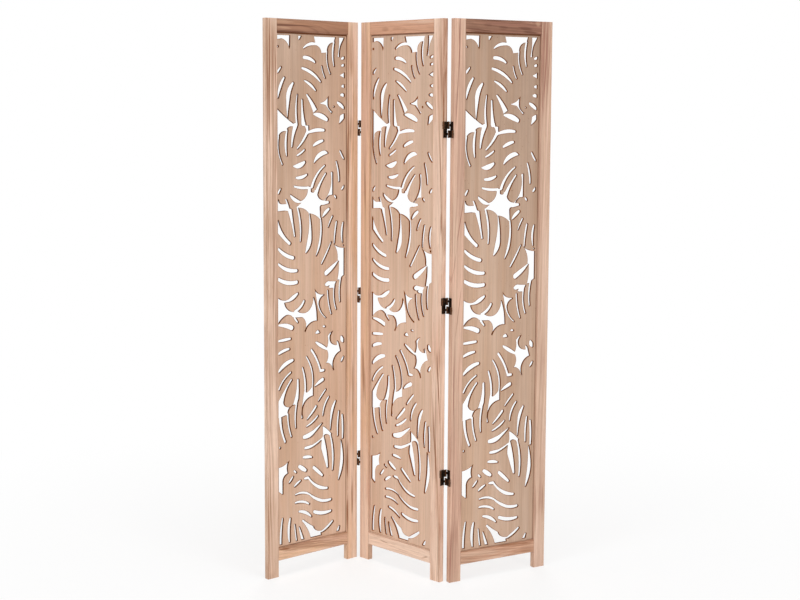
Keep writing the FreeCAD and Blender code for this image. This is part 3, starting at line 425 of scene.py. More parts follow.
RAILS = {
    "left_panel_top_rail": Board(
        tones=("dark_rail", "warm_rail", "dark_figure"), heart=(15, 30), slope=0.006, rings=0.9, lines=1.1,
        seed=23.0,
        streaks=((0.08, 0.12, -0.2), (0.92, 0.12, 0.3)),
        patches=(
            # The third patch, at 18 mm across, is painted shade along part of the rail's lower edge
            (-1, -80, 2.5, 75, -0.02, 0.9), (0, -20, 2.5, 40, 0.03, 0.6), (18, -100, 3, 75, 0, 0.9),
            (-10, -110, 5, 40, 0, -0.3), (8, -115, 5, 30, 0, -0.35), (9, 60, 8, 70, 0, 0.15),
        ),
    ),
    "left_panel_bottom_rail": Board(
        tones=("tan", "rose", "brown"), heart=(24, 40), slope=-0.15, rings=0.7, lines=1.7, seed=27.5,
        streaks=((0.1, 0.14, 0.35), (0.5, 0.1, 0.12), (0.95, 0.12, -0.3)),
        patches=(
            (-13, -112, 4, 22, 0.1, 0.9), (-6, -90, 3, 30, 0.12, 0.5), (-12, 20, 4, 100, 0.1, 0.35),
            (-12, 110, 7, 40, 0.1, 0.4), (14, 20, 4, 100, 0, -0.3),
        ),
    ),
    "middle_panel_top_rail": Board(
        tones=("ruddy", "ruddy", "brown"), heart=(10, 45), slope=0.02, rings=0.35, lines=0.55, seed=31.1,
        streaks=((0.7, 0.15, 0.1),),
        patches=(
            (5, -68, 7, 17, 0, 0.4), (5, -20, 6, 24, 0, 0.3), (10, 40, 4, 60, 0.05, 0.25),
            (-12, 90, 6, 60, 0, -0.4), (-14, 10, 5, 60, 0, -0.25),
        ),
    ),
    "middle_panel_bottom_rail": Board(
        tones=("pale", "pale", "brown"), heart=(-20, 34), slope=0.03, rings=0.4, lines=0.45, seed=35.8,
        streaks=((0.3, 0.08, 0.08),),
        patches=(
            (-4, -60, 3, 26, 0.08, 0.55), (4, 0, 2.5, 70, 0.06, 0.3), (-4, 108, 2, 12, 0.5, 0.5),
            (5, 114, 3, 16, -0.4, 0.55), (-8, 40, 14, 120, 0, -0.7), (8, -100, 8, 60, 0, -0.5),
        ),
    ),
    "right_panel_top_rail": Board(
        tones=("dark_rail", "plum_rail", "dark_figure"), heart=(4, 26), slope=-0.05, rings=0.8, lines=1,
        seed=39.6,
        streaks=((0.04, 0.08, 0.4), (0.96, 0.08, 0.35)),
        patches=(
            (2, 77, 6, 28, 0.08, 0.5), (14, 95, 5, 30, 0.08, 0.6), (-16, -60, 6, 90, 0, 0.6),
            (14, -90, 6, 50, 0.08, 0.55), (-4, -58, 7, 16, 0, 0.25), (4, -4, 8, 16, 0, 0.2),
            (0, 20, 24, 160, 0, 0.4), (-18, 121, 20, 13, 0.1, -0.6), (-14, 90, 4, 34, 0.1, -0.4),
        ),
    ),
    "right_panel_bottom_rail": Board(
        tones=("ruddy", "grey", "brown"), heart=(20, 38), slope=-0.11, rings=0.7, lines=1.4, seed=43.3,
        streaks=((0.1, 0.08, 0.25),),
        patches=(
            (-13, 70, 6, 70, 0.08, 0.5), (0, 118, 22, 36, 0, 0.3), (-4, 30, 3, 60, 0.08, 0.35),
            (6, -110, 4, 40, 0.08, 0.4), (8, 90, 5, 50, 0.08, 0.3), (14, -20, 5, 80, 0, -0.35),
        ),
    ),
}

# Sheets: how far each leans to the pale tone, how light it is at its top and foot and at its left and right,
# how strong the painted shade is where it enters its frame at the top, right, bottom and left, how light its
# burnt edges are, and a seed

SHEETS = {
    "left": Sheet(
        pale=0.05, levels=(0.85, 1.02), sides=(0.99, 1.02), corners=(1.1, 0.8, 0.7, 0.15), burn=0.85,
        seed=50.0,
    ),
    "middle": Sheet(
        pale=0.35, levels=(0.92, 1.03), sides=(0.99, 1.01), corners=(0.75, 0.1, 0.3, 0.35), burn=1.7,
        seed=57.0,
    ),
    "right": Sheet(
        pale=-0.1, levels=(0.72, 0.9), sides=(1.02, 0.88), corners=(0.9, 0.6, 0.5, 0.15), burn=1.0,
        seed=64.0,
    ),
}

# Noises of a board and of a sheet: waves a metre across, through and along, what each adds to the seed, its
# detail and its roughness

BOARD_FIGURE = {
    "drift": ((4, 4, 1.3), 0, 2, 0.5),
    "sway": ((10, 10, 4.5), 3, 2, 0.5),
    "depth": ((3, 3, 1.9), 7, 2, 0.5),
    "lines": ((170, 170, 1.6), 21, 4, 0.65),
    "fibre": ((520, 520, 6), 5, 4, 0.62),
    "pores": ((1400, 1400, 34), 9, 1, 0.5),
    "cloud": ((24, 24, 3.2), 13, 3, 0.6),
    "fade": ((3, 3, 4.5), 17, 2, 0.5),
}
SHEET_FIGURE = {
    "bands": ((34, 34, 0.7), 0, 3, 0.6),
    "cloud": ((7, 7, 2.2), 3, 3, 0.5),
    "lines": ((210, 210, 1.6), 5, 3, 0.65),
    "fibre": ((760, 760, 11), 9, 3, 0.6),
    "pores": ((1400, 1400, 60), 11, 1, 0.5),
    "flecks": ((240, 240, 120), 15, 0, 0.5),
    "wobble": ((8, 8, 5), 19, 2, 0.5),
    "char": ((300, 900, 300), 23, 2, 0.5),
}

# How dark a growth ring is from its early wood to its late wood
RING_STOPS = ((0, 0.1), (0.1, 0), (0.5, 0.2), (0.86, 1), (1, 0.1))


def streak_stops(streaks):
    """Ramp stops that rise and fall at each streak from a middle level of one half."""
    stops = {0.0: 0.5, 1.0: 0.5}
    for at, half, strength in sorted(streaks):
        for place in (at - half, at + half):
            if 0 < place < 1:
                stops.setdefault(round(place, 3), 0.5)
        stops[at] = 0.5 + strength / 2
    return sorted(stops.items())


def grain(graph, spot, parts, board):
    """Drift of a board's grain, and the masks of its late wood, lines, fibres and pores."""

    def figure(kind, vector=spot):
        return graph.figure(vector, BOARD_FIGURE[kind], board.seed)

    across, through, along = parts
    drift = figure("drift") - 0.5
    place = across + along * board.slope + drift * (34 * MM) + (figure("sway") - 0.5) * (7 * MM)
    heart_across, heart_depth = board.heart
    depth = through + (figure("depth") - 0.5) * (46 * MM) - heart_depth * MM
    rings = graph.length(graph.join(place - heart_across * MM, depth, 0.0))
    rings = rings / bpy.context.scene.screen_wood.ring_spacing
    ring_place = graph.join(graph.math("FLOOR", rings) * 0.73, board.seed, along * 2.5)
    ring_strength = graph.soft_step(graph.noise(ring_place, (1, 1, 1), 0, 0), 0.25, 0.75)
    late = graph.ramp(graph.math("FRACT", rings), RING_STOPS) * ring_strength
    lines = graph.soft_step(figure("lines", graph.join(place, through, along)), 0.42, 0.66)
    pores = graph.soft_step(figure("pores"), 0.64, 0.72)
    return drift, late, lines, figure("fibre"), pores


def board_material(node, board):
    """Planed wood for one stile or rail."""
    wood = bpy.context.scene.screen_wood
    material, graph = new_material(f"{node}_wood")
    spot, normal = board_vectors(graph, node)
    across, through, along = graph.split(spot)
    drift, late, lines, fibre, pores = grain(graph, spot, (across, through, along), board)
    first, second, dark = [tone(name) for name in board.tones]

    cloud = graph.figure(spot, BOARD_FIGURE["cloud"], board.seed)
    colour = graph.mix(graph.soft_step(cloud, 0.36, 0.64), first, second)
    width = RAIL_DEPTH if is_level(node) else STILE_WIDTH
    streak = graph.ramp((across + drift * (14 * MM)) / width + 0.5, streak_stops(board.streaks))
    fade = graph.soft_step(graph.figure(spot, BOARD_FIGURE["fade"], board.seed), 0.3, 0.6)
    streak = (streak - 0.5) * (fade * 1.6 + 0.4)
    ragged = (cloud - 0.5) * 2.2 + (fibre - 0.5) * 1.4
    streaky = lines + 0.75
    for patch_across, patch_along, half_across, half_along, lean, strength in board.patches:
        off_along = along - patch_along * MM
        off_across = (across - patch_across * MM - off_along * lean + drift * (8 * MM)) / (half_across * MM)
        off_along = off_along / (half_along * MM)
        away = off_across * off_across + off_along * off_along + ragged
        streak = streak + (1 - graph.soft_step(away, 0.0, 1.3)) * (streaky * strength)
    paler = tone("tan" if "rail" in board.tones[0] else "pale")
    colour = graph.mix(graph.math("MAXIMUM", streak, 0), colour, dark)
    colour = graph.mix(graph.math("MAXIMUM", streak * -1.0, 0), colour, paler)
    colour = graph.mix(late * (wood.ring_contrast * board.rings), colour, dark)
    colour = graph.mix(lines * (wood.line_contrast * board.lines), colour, dark)
    colour = graph.dim(colour, 1 + (fibre - 0.5) * (wood.fibre_contrast * 2))
    colour = graph.mix(pores * 0.4, colour, dark)

    # The end grain has its own tone, and painted shade darkens the eased corners
    facing_across, facing_through, facing_along = graph.split(normal)
    end = graph.soft_step(abs(facing_along), 0.8, 0.95)
    colour = graph.mix(end * 0.8, colour, tone("end_grain"))
    painted_edge_shade = graph.soft_step(abs(facing_across) * abs(facing_through), 0.3, 0.45)
    colour = graph.mix(painted_edge_shade * 0.6, colour, dark)

    height = fibre * 0.6 + late * 0.35 - pores * 0.8
    rough = 0.62 + (fibre - 0.5) * 0.16 + pores * 0.12 - late * 0.06
    graph.surface(colour, rough, height, (0.6, wood.relief), {"Specular IOR Level": 0.35})
    return material


def painted_frame_shade(graph, side, across, along, wobble):
    """Painted shade: the dark line in the corners where a sheet goes into its frame."""
    top, right, bottom, left = SHEETS[side].corners
    middle = centre_of(f"{side}_panel_pierced_sheet").z
    top_rail_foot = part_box(f"{side}_panel_top_rail")[0].z
    bottom_rail_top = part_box(f"{side}_panel_bottom_rail")[1].z
    last = half_opening(side)
    edges = (
        (top_rail_foot - middle - along, 2, 6.5, top),
        (last - across, 0.5, 4, (wobble * 1.4 + 0.3) * right),
        (along - (bottom_rail_top - middle), 0.8, 4, wobble * 1.6 * bottom),
        (across + last, 0.5, 3.5, wobble * 2 * left),
    )
    line = 0.0
    for away, near, far, strength in edges:
        line = line + (1 - graph.soft_step(away, near * MM, far * MM)) * strength
    return graph.math("MINIMUM", line, 0.9)


def sheet_material(side):
    """The thin pierced board: straight upright fibres, scorched walls and painted shade at its frame."""
    wood = bpy.context.scene.screen_wood
    look = SHEETS[side]
    node = f"{side}_panel_pierced_sheet"
    material, graph = new_material(f"{node}_board")
    spot, normal = board_vectors(graph, node)
    across, _, along = graph.split(spot)
    figures = {name: graph.figure(spot, kind, look.seed) for name, kind in SHEET_FIGURE.items()}
    cloud, lines, fibre = figures["cloud"], figures["lines"], figures["fibre"]
    pores = graph.soft_step(figures["pores"], 0.68, 0.76)
    flecks = graph.soft_step(figures["flecks"], 0.8, 0.86)

    paleness = graph.soft_step(figures["bands"] * 0.6 + cloud * 0.4, 0.36, 0.66) + look.pale
    colour = graph.mix(paleness, tone("sheet"), tone("sheet_pale"))
    colour = graph.dim(colour, 1 + (lines - 0.5) * 0.44 + (fibre - 0.5) * 0.34 + (cloud - 0.5) * 0.2)
    colour = graph.mix(pores * 0.3 + flecks * 0.4, colour, tone("brown"))
    upper, lower = look.levels
    colour = graph.dim(colour, graph.soft_step(along, -0.2, 0.75) * (upper - lower) + lower)
    at_left, at_right = look.sides
    colour = graph.dim(colour, graph.soft_step(across, -0.12, 0.12) * (at_right - at_left) + at_left)
    # The scorch colour stands here as painted shade where the sheet goes into its frame
    colour = graph.mix(painted_frame_shade(graph, side, across, along, figures["wobble"]), colour, tone("scorch"))

    # The walls of the cut-outs are burnt, and the rims round them only browned
    burnt = graph.mix(graph.soft_step(figures["char"], 0.3, 0.8) * 0.35, tone("scorch"), tone("brown"))
    facing_through = graph.split(normal)[1]
    burnt = graph.mix(graph.soft_step(abs(facing_through), 0.5, 0.9), burnt, tone("singed"))
    burnt = graph.dim(burnt, (look.burn,) * 3 + (1.0,))
    wall = graph.add("ShaderNodeAttribute", {"attribute_name": "scorch"}, {}, "Fac")
    colour = graph.mix(graph.soft_step(wall, 0.0, 0.8), colour, burnt)

    height = fibre * 0.6 + lines * 0.3 - pores * 0.8
    rough = 0.64 + (fibre - 0.5) * 0.16 + wall * 0.2
    graph.surface(colour, rough, height, (0.5, wood.relief), {"Specular IOR Level": 0.0})
    return material


def welded(node):
    """The node's mesh for editing, with the vertices that lie in the same place joined."""
    skin = bmesh.new()
    skin.from_mesh(frame["nodes"][node].data)
    bmesh.ops.remove_doubles(skin, verts=skin.verts, dist=WELD)
    return skin


def piece_from(skin, name):
    """An object with the edited mesh, which is used up."""
    mesh = bpy.data.meshes.new(name)
    skin.to_mesh(mesh)
    skin.free()
    return new_object(name, mesh)


# A folded rim is drawn back by half at each try
MOST_TRIES = 20


def even_faces(skin, through):
    """Turns the edges within the flat faces, so that their triangles are even and a rim folds less."""
    flat = [face for face in skin.faces if abs(face.normal.dot(through)) > FLAT]
    chosen = set(flat)
    within = [edge for edge in skin.edges if chosen.issuperset(edge.link_faces)]
    bmesh.ops.beautify_fill(skin, faces=flat, edges=within, method="ANGLE")
    skin.normal_update()


def add_rim(skin, facing, outwards, width):
    """Insets one face of a sheet round its cut-outs, and draws the rim back where it would fold over."""
    made = bmesh.ops.inset_region(
        skin, faces=facing, thickness=width, depth=0, use_boundary=True, use_even_offset=False
    )
    inner = {vert for face in facing for vert in face.verts}
    homes = {}
    for face in made["faces"]:
        for edge in face.edges:
            ends = sorted(edge.verts, key=lambda vert: vert in inner)
            if ends[0] not in inner and ends[1] in inner:
                homes[ends[1]] = ends[0].co.copy()
    rim = bmesh.ops.triangulate(skin, faces=made["faces"])["faces"]
    for attempt in range(MOST_TRIES):
        skin.normal_update()
        folded = [face for face in facing + rim if face.normal.dot(outwards) < FLAT]
        if not folded:
            break
        for vert in {vert for face in folded for vert in face.verts}:
            if vert in homes:
                vert.co = homes[vert].lerp(vert.co, 0.5)
    skin.normal_update()


def scorched_sheet(side):
    """The CAD sheet with a narrow rim round every cut-out on both faces, marked for its scorch."""
    rim_width = bpy.context.scene.screen_wood.rim_width
    node = f"{side}_panel_pierced_sheet"
    through = panel_axes(side)[1]
    skin = welded(node)
    skin.normal_update()
    even_faces(skin, through)
    fronts = [face for face in skin.faces if face.normal.dot(through) > FLAT]
    backs = [face for face in skin.faces if face.normal.dot(through) < -FLAT]
    add_rim(skin, fronts, through, rim_width)
    add_rim(skin, backs, -through, rim_width)
    mark = skin.verts.layers.float.new("scorch")
    for face in skin.faces:
        face.smooth = True
        if abs(face.normal.dot(through)) < 0.5:
            for vert in face.verts:
                vert[mark] = 1.0
    for edge in skin.edges:
        edge.smooth = edge.is_manifold and edge.calc_face_angle(0) < math.radians(35)
    piece = piece_from(skin, f"{node}_scorched")
    piece.data.materials.append(sheet_material(side))
    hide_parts(node)
    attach(piece, f"{side}_panel")


def dowel_material():
    """Fluted beech pegs, out of sight in the frame joints."""
    material, graph = new_material("dowel_peg_wood")
    fibre = graph.noise(graph.coordinates(), (260, 260, 900), 3.0, 3)
    colour = graph.mix(graph.soft_step(fibre, 0.3, 0.7), tone("pale"), tone("tan"))
    relief = (0.4, bpy.context.scene.screen_wood.relief)
    graph.surface(colour, 0.6 + fibre * 0.15, fibre, relief, {})
    return material


def metal_material(name, plain, rubbed, metallic, roughness):
    """Darkened steel with a soft mottle, rubbed to another tone in places."""
    material, graph = new_material(name)
    where = graph.coordinates()
    mottle = graph.noise(where, (700, 700, 500), 2.0, 4, 0.6)
    rub = graph.soft_step(graph.noise(where, (240, 240, 160), 8.0, 3), 0.46, 0.66)
    brushed = graph.noise(where, (2600, 2600, 260), 5.0, 2)
    colour = graph.mix(rub * 0.7 + (mottle - 0.5) * 0.3, tone(plain), tone(rubbed))
    rough = roughness + (mottle - 0.5) * 0.3 + rub * 0.05
    graph.surface(colour, rough, brushed + mottle, (0.35, 0.03 * MM), {"Metallic": metallic})
    return material


def give(node, material):
    """Puts a material in every slot of a CAD node."""
    slots = frame["nodes"][node].material_slots
    for slot in slots:
        slot.material = material
    if not slots:
        frame["nodes"][node].data.materials.append(material)


def dress_boards(boards):
    for node, board in boards.items():
        give(node, board_material(node, board))


def body_named(node):
    """The body that a CAD node belongs to."""
    for body, members in frame["record"]["behaviour"]["bodies"].items():
        if node in members:
            return body
    raise RuntimeError(f"no body holds {node}")


# Hinges

# An upright face smaller than this belongs to a knuckle or an edge, not to a leaf's flat side
KNUCKLE_FACE = 14 * MM * MM


def round_hinge_part(node, materials):
    """A leaf or link with whole flat faces and rounded edges in place of the CAD node; its knuckles and rounded
    edges take worn bronze that is also a painted highlight.
    """
    skin = welded(node)
    limits = {"angle_limit": math.radians(1), "delimit": {"NORMAL"}}
    bmesh.ops.dissolve_limit(skin, verts=skin.verts, edges=skin.edges, **limits)
    piece = piece_from(skin, f"{node}_rounded")
    piece.data.validate()
    for material in materials:
        piece.data.materials.append(material)
    for face in piece.data.polygons:
        face.use_smooth = True
        # Slot 1, worn bronze that also stands as a painted highlight, goes on the curved knuckles, and the
        # bevel gives it to the rounded edges
        face.material_index = 1 if abs(face.normal.z) < 0.5 and face.area < KNUCKLE_FACE else 0
    rounding = piece.modifiers.new("rounded_edges", "BEVEL")
    rounding.width = bpy.context.scene.screen_hinge.edge_radius
    rounding.segments = 2
    rounding.limit_method = "ANGLE"
    rounding.angle_limit = math.radians(40)
    rounding.use_clamp_overlap = True
    rounding.harden_normals = True
    rounding.material = 1
    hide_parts(node)
    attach(piece, body_named(node))


# Screws, from Geometry Nodes

# The sizes that the tree takes from the hinge settings
SCREW_SIZES = ("Head Diameter", "Head Depth", "Shank Diameter", "Slot Width", "Slot Depth", "Thread Pitch")
USUAL_LENGTH = 16 * MM
FIRST_SEED = 7


def screw_size(settings, name):
    """The hinge setting that goes with an input of the tree."""
    return getattr(settings, name.lower().replace(" ", "_"))


def node_input(tree, name, kind, default=None):
    """Adds a named input to the tree and gives its identifier."""
    socket = tree.interface.new_socket(name=name, in_out="INPUT", socket_type=kind)
    if default is not None:
        socket.default_value = default
    return socket.identifier


def screw_tree(settings):
    """A tree that puts a slotted countersunk screw on every point, and its inputs' identifiers by name."""
    tree = bpy.data.node_groups.new("hinge_screw", "GeometryNodeTree")
    node_input(tree, "Geometry", "NodeSocketGeometry")
    inputs = {}
    for name in SCREW_SIZES:
        inputs[name] = node_input(tree, name, "NodeSocketFloat", screw_size(settings, name))
    inputs["Length"] = node_input(tree, "Length", "NodeSocketFloat", USUAL_LENGTH)
    inputs["Seed"] = node_input(tree, "Seed", "NodeSocketInt", FIRST_SEED)
    inputs["Material"] = node_input(tree, "Material", "NodeSocketMaterial")
    tree.interface.new_socket(name="Geometry", in_out="OUTPUT", socket_type="NodeSocketGeometry")
    graph = Graph(tree)
    group = tree.nodes.new("NodeGroupInput")
    given = {socket.name: Value(graph, socket) for socket in group.outputs}
    place_screws(graph, given, one_screw(graph, given))
    return tree, inputs


def cone(graph, top, bottom, depth, sides):
    """A cone that reaches from its base at zero up to its depth."""
    values = {"Vertices": sides, "Radius Top": top, "Radius Bottom": bottom, "Depth": depth}
    return graph.add("GeometryNodeMeshCone", {}, values, "Mesh")


def moved(graph, shape, height):
    """The shape, moved up by a height."""
    values = {"Geometry": shape, "Translation": graph.join(0.0, 0.0, height)}
    return graph.add("GeometryNodeTransform", {}, values)


def one_screw(graph, given):
    """Head, threaded shank and slot, with the head's face at zero and the shank below it."""
    shank_radius = given["Shank Diameter"] * 0.5
    head = cone(graph, given["Head Diameter"] * 0.5, shank_radius, given["Head Depth"], 32)
    head = moved(graph, head, given["Head Depth"] * -1.0)
    slot_size = graph.join(given["Head Diameter"] * 0.62, given["Slot Width"], given["Slot Depth"] * 2.0)
    slot = graph.add("GeometryNodeMeshCube", {}, {"Size": slot_size}, "Mesh")
    both = {"Mesh 1": head, "Mesh 2": slot}
    head = graph.add("GeometryNodeMeshBoolean", {"operation": "DIFFERENCE"}, both, "Mesh")

    # The core tapers to a point
    core_radius = shank_radius * 0.72
    shank_length = given["Length"] - given["Head Depth"]
    drop = given["Length"] * -1.0
    core = moved(graph, cone(graph, core_radius, core_radius * 0.3, shank_length, 16), drop)

    # The thread is a three-sided wire, wound at the pitch
    turns = graph.math("FLOOR", shank_length * 0.8 / given["Thread Pitch"])
    edge_radius = shank_radius * 0.86
    winding = {
        "Resolution": 12,
        "Rotations": turns,
        "Start Radius": edge_radius,
        "End Radius": edge_radius * 0.96,
        "Height": turns * given["Thread Pitch"],
    }
    helix = graph.add("GeometryNodeCurveSpiral", {}, winding, "Curve")
    tooth = {"Resolution": 3, "Radius": shank_radius * 0.14}
    tooth = graph.add("GeometryNodeCurvePrimitiveCircle", {}, tooth, "Curve")
    wire = {"Curve": helix, "Profile Curve": tooth, "Fill Caps": True}
    wire = graph.add("GeometryNodeCurveToMesh", {}, wire, "Mesh")
    thread = moved(graph, wire, drop + 1.2 * MM)

    whole = graph.add("GeometryNodeJoinGeometry", {}, {"Geometry": head})
    for part in (core, thread):
        graph.tree.links.new(part.socket, whole.socket.node.inputs["Geometry"])
    return whole


def place_screws(graph, given, screw):
    """Sets the screw on every point, each slot at its own angle, and makes the screws real."""
    as_vector = {"data_type": "FLOAT_VECTOR"}
    outwards = graph.add("GeometryNodeInputNamedAttribute", as_vector, {"Name": "outwards"}, "Attribute")
    aligned = graph.add("FunctionNodeAlignRotationToVector", {"axis": "Z"}, {"Vector": outwards}, "Rotation")
    # The node's third and fourth inputs and its second output are those of plain numbers
    spread = {2: 0.0, 3: math.pi, "Seed": given["Seed"]}
    angle = graph.add("FunctionNodeRandomValue", {"data_type": "FLOAT"}, spread, 1)
    spin = graph.add("FunctionNodeAxisAngleToRotation", {}, {"Axis": (0, 0, 1), "Angle": angle}, "Rotation")
    both = {"Rotation": aligned, "Rotate By": spin}
    turned = graph.add("FunctionNodeRotateRotation", {"rotation_space": "LOCAL"}, both, "Rotation")
    copies = {"Points": given["Geometry"], "Instance": screw, "Rotation": turned}
    placed = graph.add("GeometryNodeInstanceOnPoints", {}, copies, "Instances")
    real = graph.add("GeometryNodeRealizeInstances", {}, {"Geometry": placed}, "Geometry")
    finish = {"Geometry": real, "Material": given["Material"]}
    finished = graph.add("GeometryNodeSetMaterial", {}, finish, "Geometry")
    graph.add("NodeGroupOutput", {}, {"Geometry": finished})


def linked_groups(skin):
    """The points of each separate shell of a mesh."""
    left = set(skin.verts)
    while left:
        todo = [left.pop()]
        group = []
        while todo:
            vert = todo.pop()
            group.append(vert.co)
            for edge in vert.link_edges:
                other = edge.other_vert(vert)
                if other in left:
                    left.remove(other)
                    todo.append(other)
        yield group


def screw_places(side):
    """The face centre, outward direction and length of each CAD screw of a panel, from the floor up."""
    skin = welded(f"{side}_panel_hinge_screws")
    centre = panel_centre(side)
    along = panel_axes(side)[0]
    places = []
    for group in linked_groups(skin):
        middle = sum(group, Vector()) / len(group)
        outwards = along if (middle - centre).dot(along) > 0 else -along
        reach = [point.dot(outwards) for point in group]
        side_line = outwards.cross(Vector((0, 0, 1)))
        sides = [point.dot(side_line) for point in group]
        heights = [point.z for point in group]
        face = outwards * max(reach) + side_line * (max(sides) + min(sides)) / 2
        face.z = (max(heights) + min(heights)) / 2
        places.append((face, outwards, max(reach) - min(reach)))
    skin.free()
    return sorted(places, key=lambda place: (round(place[0].z, 4), round(place[0].x, 4)))


def drive_screws(side, tree, inputs, material, settings):
    """Real screws in place of a panel's CAD screws, from the tree."""
    places = screw_places(side)
    points = bpy.data.meshes.new(f"{side}_screw_points")
    points.from_pydata([place[0] for place in places], [], [])
    directions = points.attributes.new("outwards", "FLOAT_VECTOR", "POINT")
    for at, place in enumerate(places):
        directions.data[at].vector = place[1]
    carrier = new_object(f"{side}_screw_carrier", points)
    maker = carrier.modifiers.new("screws", "NODES")
    maker.node_group = tree
    for name in SCREW_SIZES:
        maker[inputs[name]] = screw_size(settings, name)
    maker[inputs["Length"]] = places[0][2]
    maker[inputs["Seed"]] = FIRST_SEED + SIDES.index(side)
    maker[inputs["Material"]] = material
    depsgraph = bpy.context.evaluated_depsgraph_get()
    mesh = bpy.data.meshes.new_from_object(carrier.evaluated_get(depsgraph), depsgraph=depsgraph)
    if not mesh.polygons:
        raise RuntimeError("the screw tree made nothing")
    mesh.name = f"{side}_panel_slotted_screws"
    piece = new_object(mesh.name, mesh)
    bpy.data.objects.remove(carrier)
    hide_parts(f"{side}_panel_hinge_screws")
    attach(piece, f"{side}_panel")


# Operators


class SCREEN_OT_stiles(bpy.types.Operator):
    """Gives each upright its own board of streaked wood"""

    bl_idname = "screen.dress_stiles"
    bl_label = "Stiles"

    def execute(self, context):
        dress_boards(STILES)
        return {"FINISHED"}


class SCREEN_OT_rails(bpy.types.Operator):
    """Gives each rail its own level board, dark on the wings' tops"""

    bl_idname = "screen.dress_rails"
    bl_label = "Rails"

    def execute(self, context):
        dress_boards(RAILS)
        return {"FINISHED"}


class SCREEN_OT_sheets(bpy.types.Operator):
    """Gives the pierced sheets their board, with scorched walls"""

    bl_idname = "screen.dress_sheets"
    bl_label = "Pierced Sheets"

    def execute(self, context):
        for side in SIDES:
            scorched_sheet(side)
        return {"FINISHED"}


class SCREEN_OT_dowels(bpy.types.Operator):
    """Gives the hidden dowels their wood"""

    bl_idname = "screen.dress_dowels"
    bl_label = "Dowels"

    def execute(self, context):
        material = dowel_material()
        for side in SIDES:
            give(f"{side}_panel_dowels", material)
        return {"FINISHED"}


class SCREEN_OT_hinges(bpy.types.Operator):
    """Rounds and finishes the leaves and links of the hinges, and finishes their pins"""

    bl_idname = "screen.make_hinges"
    bl_label = "Hinges and Pins"

    def execute(self, context):
        plain = metal_material("hinge_dark_metal", "metal", "worn", 0.8, 0.5)
        # Worn bronze for the knuckles and rounded edges, also standing as a painted highlight there
        rubbed = metal_material("hinge_worn_metal", "worn", "metal", 0.7, 0.42)
        pins = metal_material("hinge_pin_metal", "metal", "steel", 0.8, 0.4)
        for fold in FOLDS:
            for height in HEIGHTS:
                for part in ("left_leaf", "right_leaf", "upper_link", "lower_link"):
                    round_hinge_part(f"{fold}_fold_{height}_hinge_{part}", (plain, rubbed))
            give(f"{fold}_upper_link_pins", pins)
            give(f"{fold}_lower_link_pins", pins)
        give("middle_panel_stub_pins", pins)
        return {"FINISHED"}


class SCREEN_OT_screws(bpy.types.Operator):
    """Drives a slotted screw wherever the CAD has one"""

    bl_idname = "screen.make_screws"
    bl_label = "Screws"

    def execute(self, context):
        settings = context.scene.screen_hinge
        material = metal_material("hinge_screw_metal", "metal", "steel", 0.75, 0.42)
        tree, inputs = screw_tree(settings)
        for side in SIDES:
            drive_screws(side, tree, inputs, material, settings)
        return {"FINISHED"}


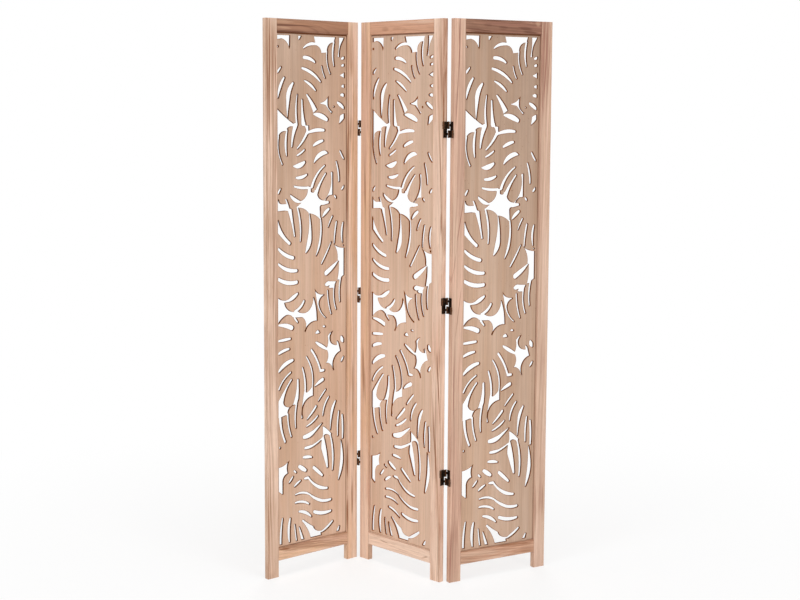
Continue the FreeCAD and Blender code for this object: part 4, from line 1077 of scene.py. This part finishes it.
class SCREEN_OT_stage(bpy.types.Operator):
    """Sets the floor, the soft light and the camera"""

    bl_idname = "screen.set_stage"
    bl_label = "Stage"

    def execute(self, context):
        settings = context.scene.screen_stage
        self.floor(settings)
        self.sky(context, settings)
        self.lamps(settings)
        self.camera(context)
        return {"FINISHED"}

    def floor(self, settings):
        """A wide pale floor that fades to white away from the screen."""
        reach = settings.floor_reach
        mesh = bpy.data.meshes.new("studio_floor")
        corners = [(-reach, -reach, 0), (reach, -reach, 0), (reach, reach, 0), (-reach, reach, 0)]
        mesh.from_pydata(corners, [], [(0, 1, 2, 3)])
        floor = new_object("studio_floor", mesh)
        material, graph = new_material("studio_floor_white")
        seen = graph.add("ShaderNodeLightPath", {}, {}, "Is Camera Ray")
        away = graph.length(graph.coordinates())
        far = graph.soft_step(away, settings.shadow_reach * 0.3, settings.shadow_reach)
        matt = graph.add("ShaderNodeBsdfDiffuse", {}, {"Color": tuple(settings.floor_colour)})
        white = graph.add("ShaderNodeEmission", {}, {"Color": (1, 1, 1, 1), "Strength": 1.0})
        near_white = 0.7
        whiteness = seen * (near_white + far * (1 - near_white))
        graph.output(graph.add("ShaderNodeMixShader", {}, {0: whiteness, 1: matt, 2: white}))
        mesh.materials.append(material)

    def sky(self, context, settings):
        """Even light, and plain white where the sky itself is seen."""
        world = bpy.data.worlds.new("studio_sky")
        context.scene.world = world
        world.use_nodes = True
        graph = Graph(world.node_tree)
        seen = 0.0
        for kind in ("Camera", "Glossy", "Transmission"):
            seen = seen + graph.add("ShaderNodeLightPath", {}, {}, f"Is {kind} Ray")
        seen = graph.math("MINIMUM", seen, 1.0)
        even = graph.add("ShaderNodeBackground", {}, {"Color": (1, 1, 1, 1), "Strength": settings.sky})
        white = graph.add("ShaderNodeBackground", {}, {"Color": (1, 1, 1, 1), "Strength": 1.0})
        mixed = graph.add("ShaderNodeMixShader", {}, {0: seen, 1: even, 2: white})
        graph.add("ShaderNodeOutputWorld", {}, {"Surface": mixed})

    def lamps(self, settings):
        """Large soft lamps, by name, place, size and share of the power."""
        aim = Vector((0, 0, 0.7))
        places = (
            ("lamp_front_left", (-4.8, -5.2, 1.9), 3.2, 1.0),
            ("lamp_front_right", (4.8, -5.2, 1.9), 3.2, 1.0),
            ("lamp_over", (0, -1.0, 6.5), 3.0, 0.6),
            ("lamp_back", (0, 6.0, 2.2), 3.2, 0.8),
        )
        for name, place, size, share in places:
            data = bpy.data.lights.new(name, "AREA")
            data.shape = "DISK"
            data.size = size
            data.energy = settings.lamp * share
            lamp = new_object(name, data)
            lamp.location = place
            lamp.rotation_euler = (aim - Vector(place)).to_track_quat("-Z", "Y").to_euler()

    def camera(self, context):
        """The photograph's viewpoint, from the known corners of the panels in its 800 by 600 frame."""
        wide, high = 800, 600
        focal, middle_x, middle_y = 1427.93, 395.63, 260.82
        yaw, pitch, roll = -0.01949, -0.10661, 0.0051
        middle = panel_centre("middle")
        data = bpy.data.cameras.new("photo_view")
        data.sensor_width = 36
        data.lens = focal / wide * data.sensor_width
        data.shift_x = (wide / 2 - middle_x) / wide
        data.shift_y = (middle_y - high / 2) / wide
        data.clip_end = 200
        ahead = Vector((math.sin(yaw) * math.cos(pitch), math.cos(yaw) * math.cos(pitch), math.sin(pitch)))
        side = Vector((math.cos(yaw), -math.sin(yaw), 0))
        up = side.cross(ahead)
        right = side * math.cos(roll) + up * math.sin(roll)
        top = up * math.cos(roll) - side * math.sin(roll)
        camera = new_object("photo_view", data)
        camera.matrix_world = Matrix((right, top, -ahead)).transposed().to_4x4()
        camera.location = Vector((0.06496, -4.35443, 1.43782)) + Vector((middle.x, middle.y, 0))
        context.scene.camera = camera
        context.scene.view_settings.view_transform = "Standard"


class SCREEN_PT_pieces(bpy.types.Panel):
    """The screen's pieces, in the order they are made"""

    bl_idname = "SCREEN_PT_pieces"
    bl_label = "Folding Screen"
    bl_space_type = "VIEW_3D"
    bl_region_type = "UI"
    bl_category = "Screen"

    def draw(self, context):
        for step in OPERATORS:
            self.layout.operator(step.bl_idname)
        for name in GROUPS:
            group = getattr(context.scene, name)
            box = self.layout.box()
            for setting in group.bl_rna.properties:
                if not setting.is_readonly and setting.identifier != "name":
                    box.prop(group, setting.identifier)


OPERATORS = (
    SCREEN_OT_stage,
    SCREEN_OT_stiles,
    SCREEN_OT_rails,
    SCREEN_OT_sheets,
    SCREEN_OT_dowels,
    SCREEN_OT_hinges,
    SCREEN_OT_screws,
)
GROUPS = {"screen_wood": WoodSettings, "screen_hinge": HingeSettings, "screen_stage": StageSettings}


def register():
    for group in GROUPS.values():
        bpy.utils.register_class(group)
    for name, group in GROUPS.items():
        setattr(bpy.types.Scene, name, bpy.props.PointerProperty(type=group))
    for step in OPERATORS + (SCREEN_PT_pieces,):
        bpy.utils.register_class(step)


def unregister():
    for step in reversed(OPERATORS + (SCREEN_PT_pieces,)):
        bpy.utils.unregister_class(step)
    for name in GROUPS:
        delattr(bpy.types.Scene, name)
    for group in reversed(tuple(GROUPS.values())):
        bpy.utils.unregister_class(group)


def main():
    """Makes every piece in order."""
    register()
    bpy.ops.screen.set_stage()
    bpy.ops.screen.dress_stiles()
    bpy.ops.screen.dress_rails()
    bpy.ops.screen.dress_sheets()
    bpy.ops.screen.dress_dowels()
    bpy.ops.screen.make_hinges()
    bpy.ops.screen.make_screws()


if __name__ == "__main__":
    main()
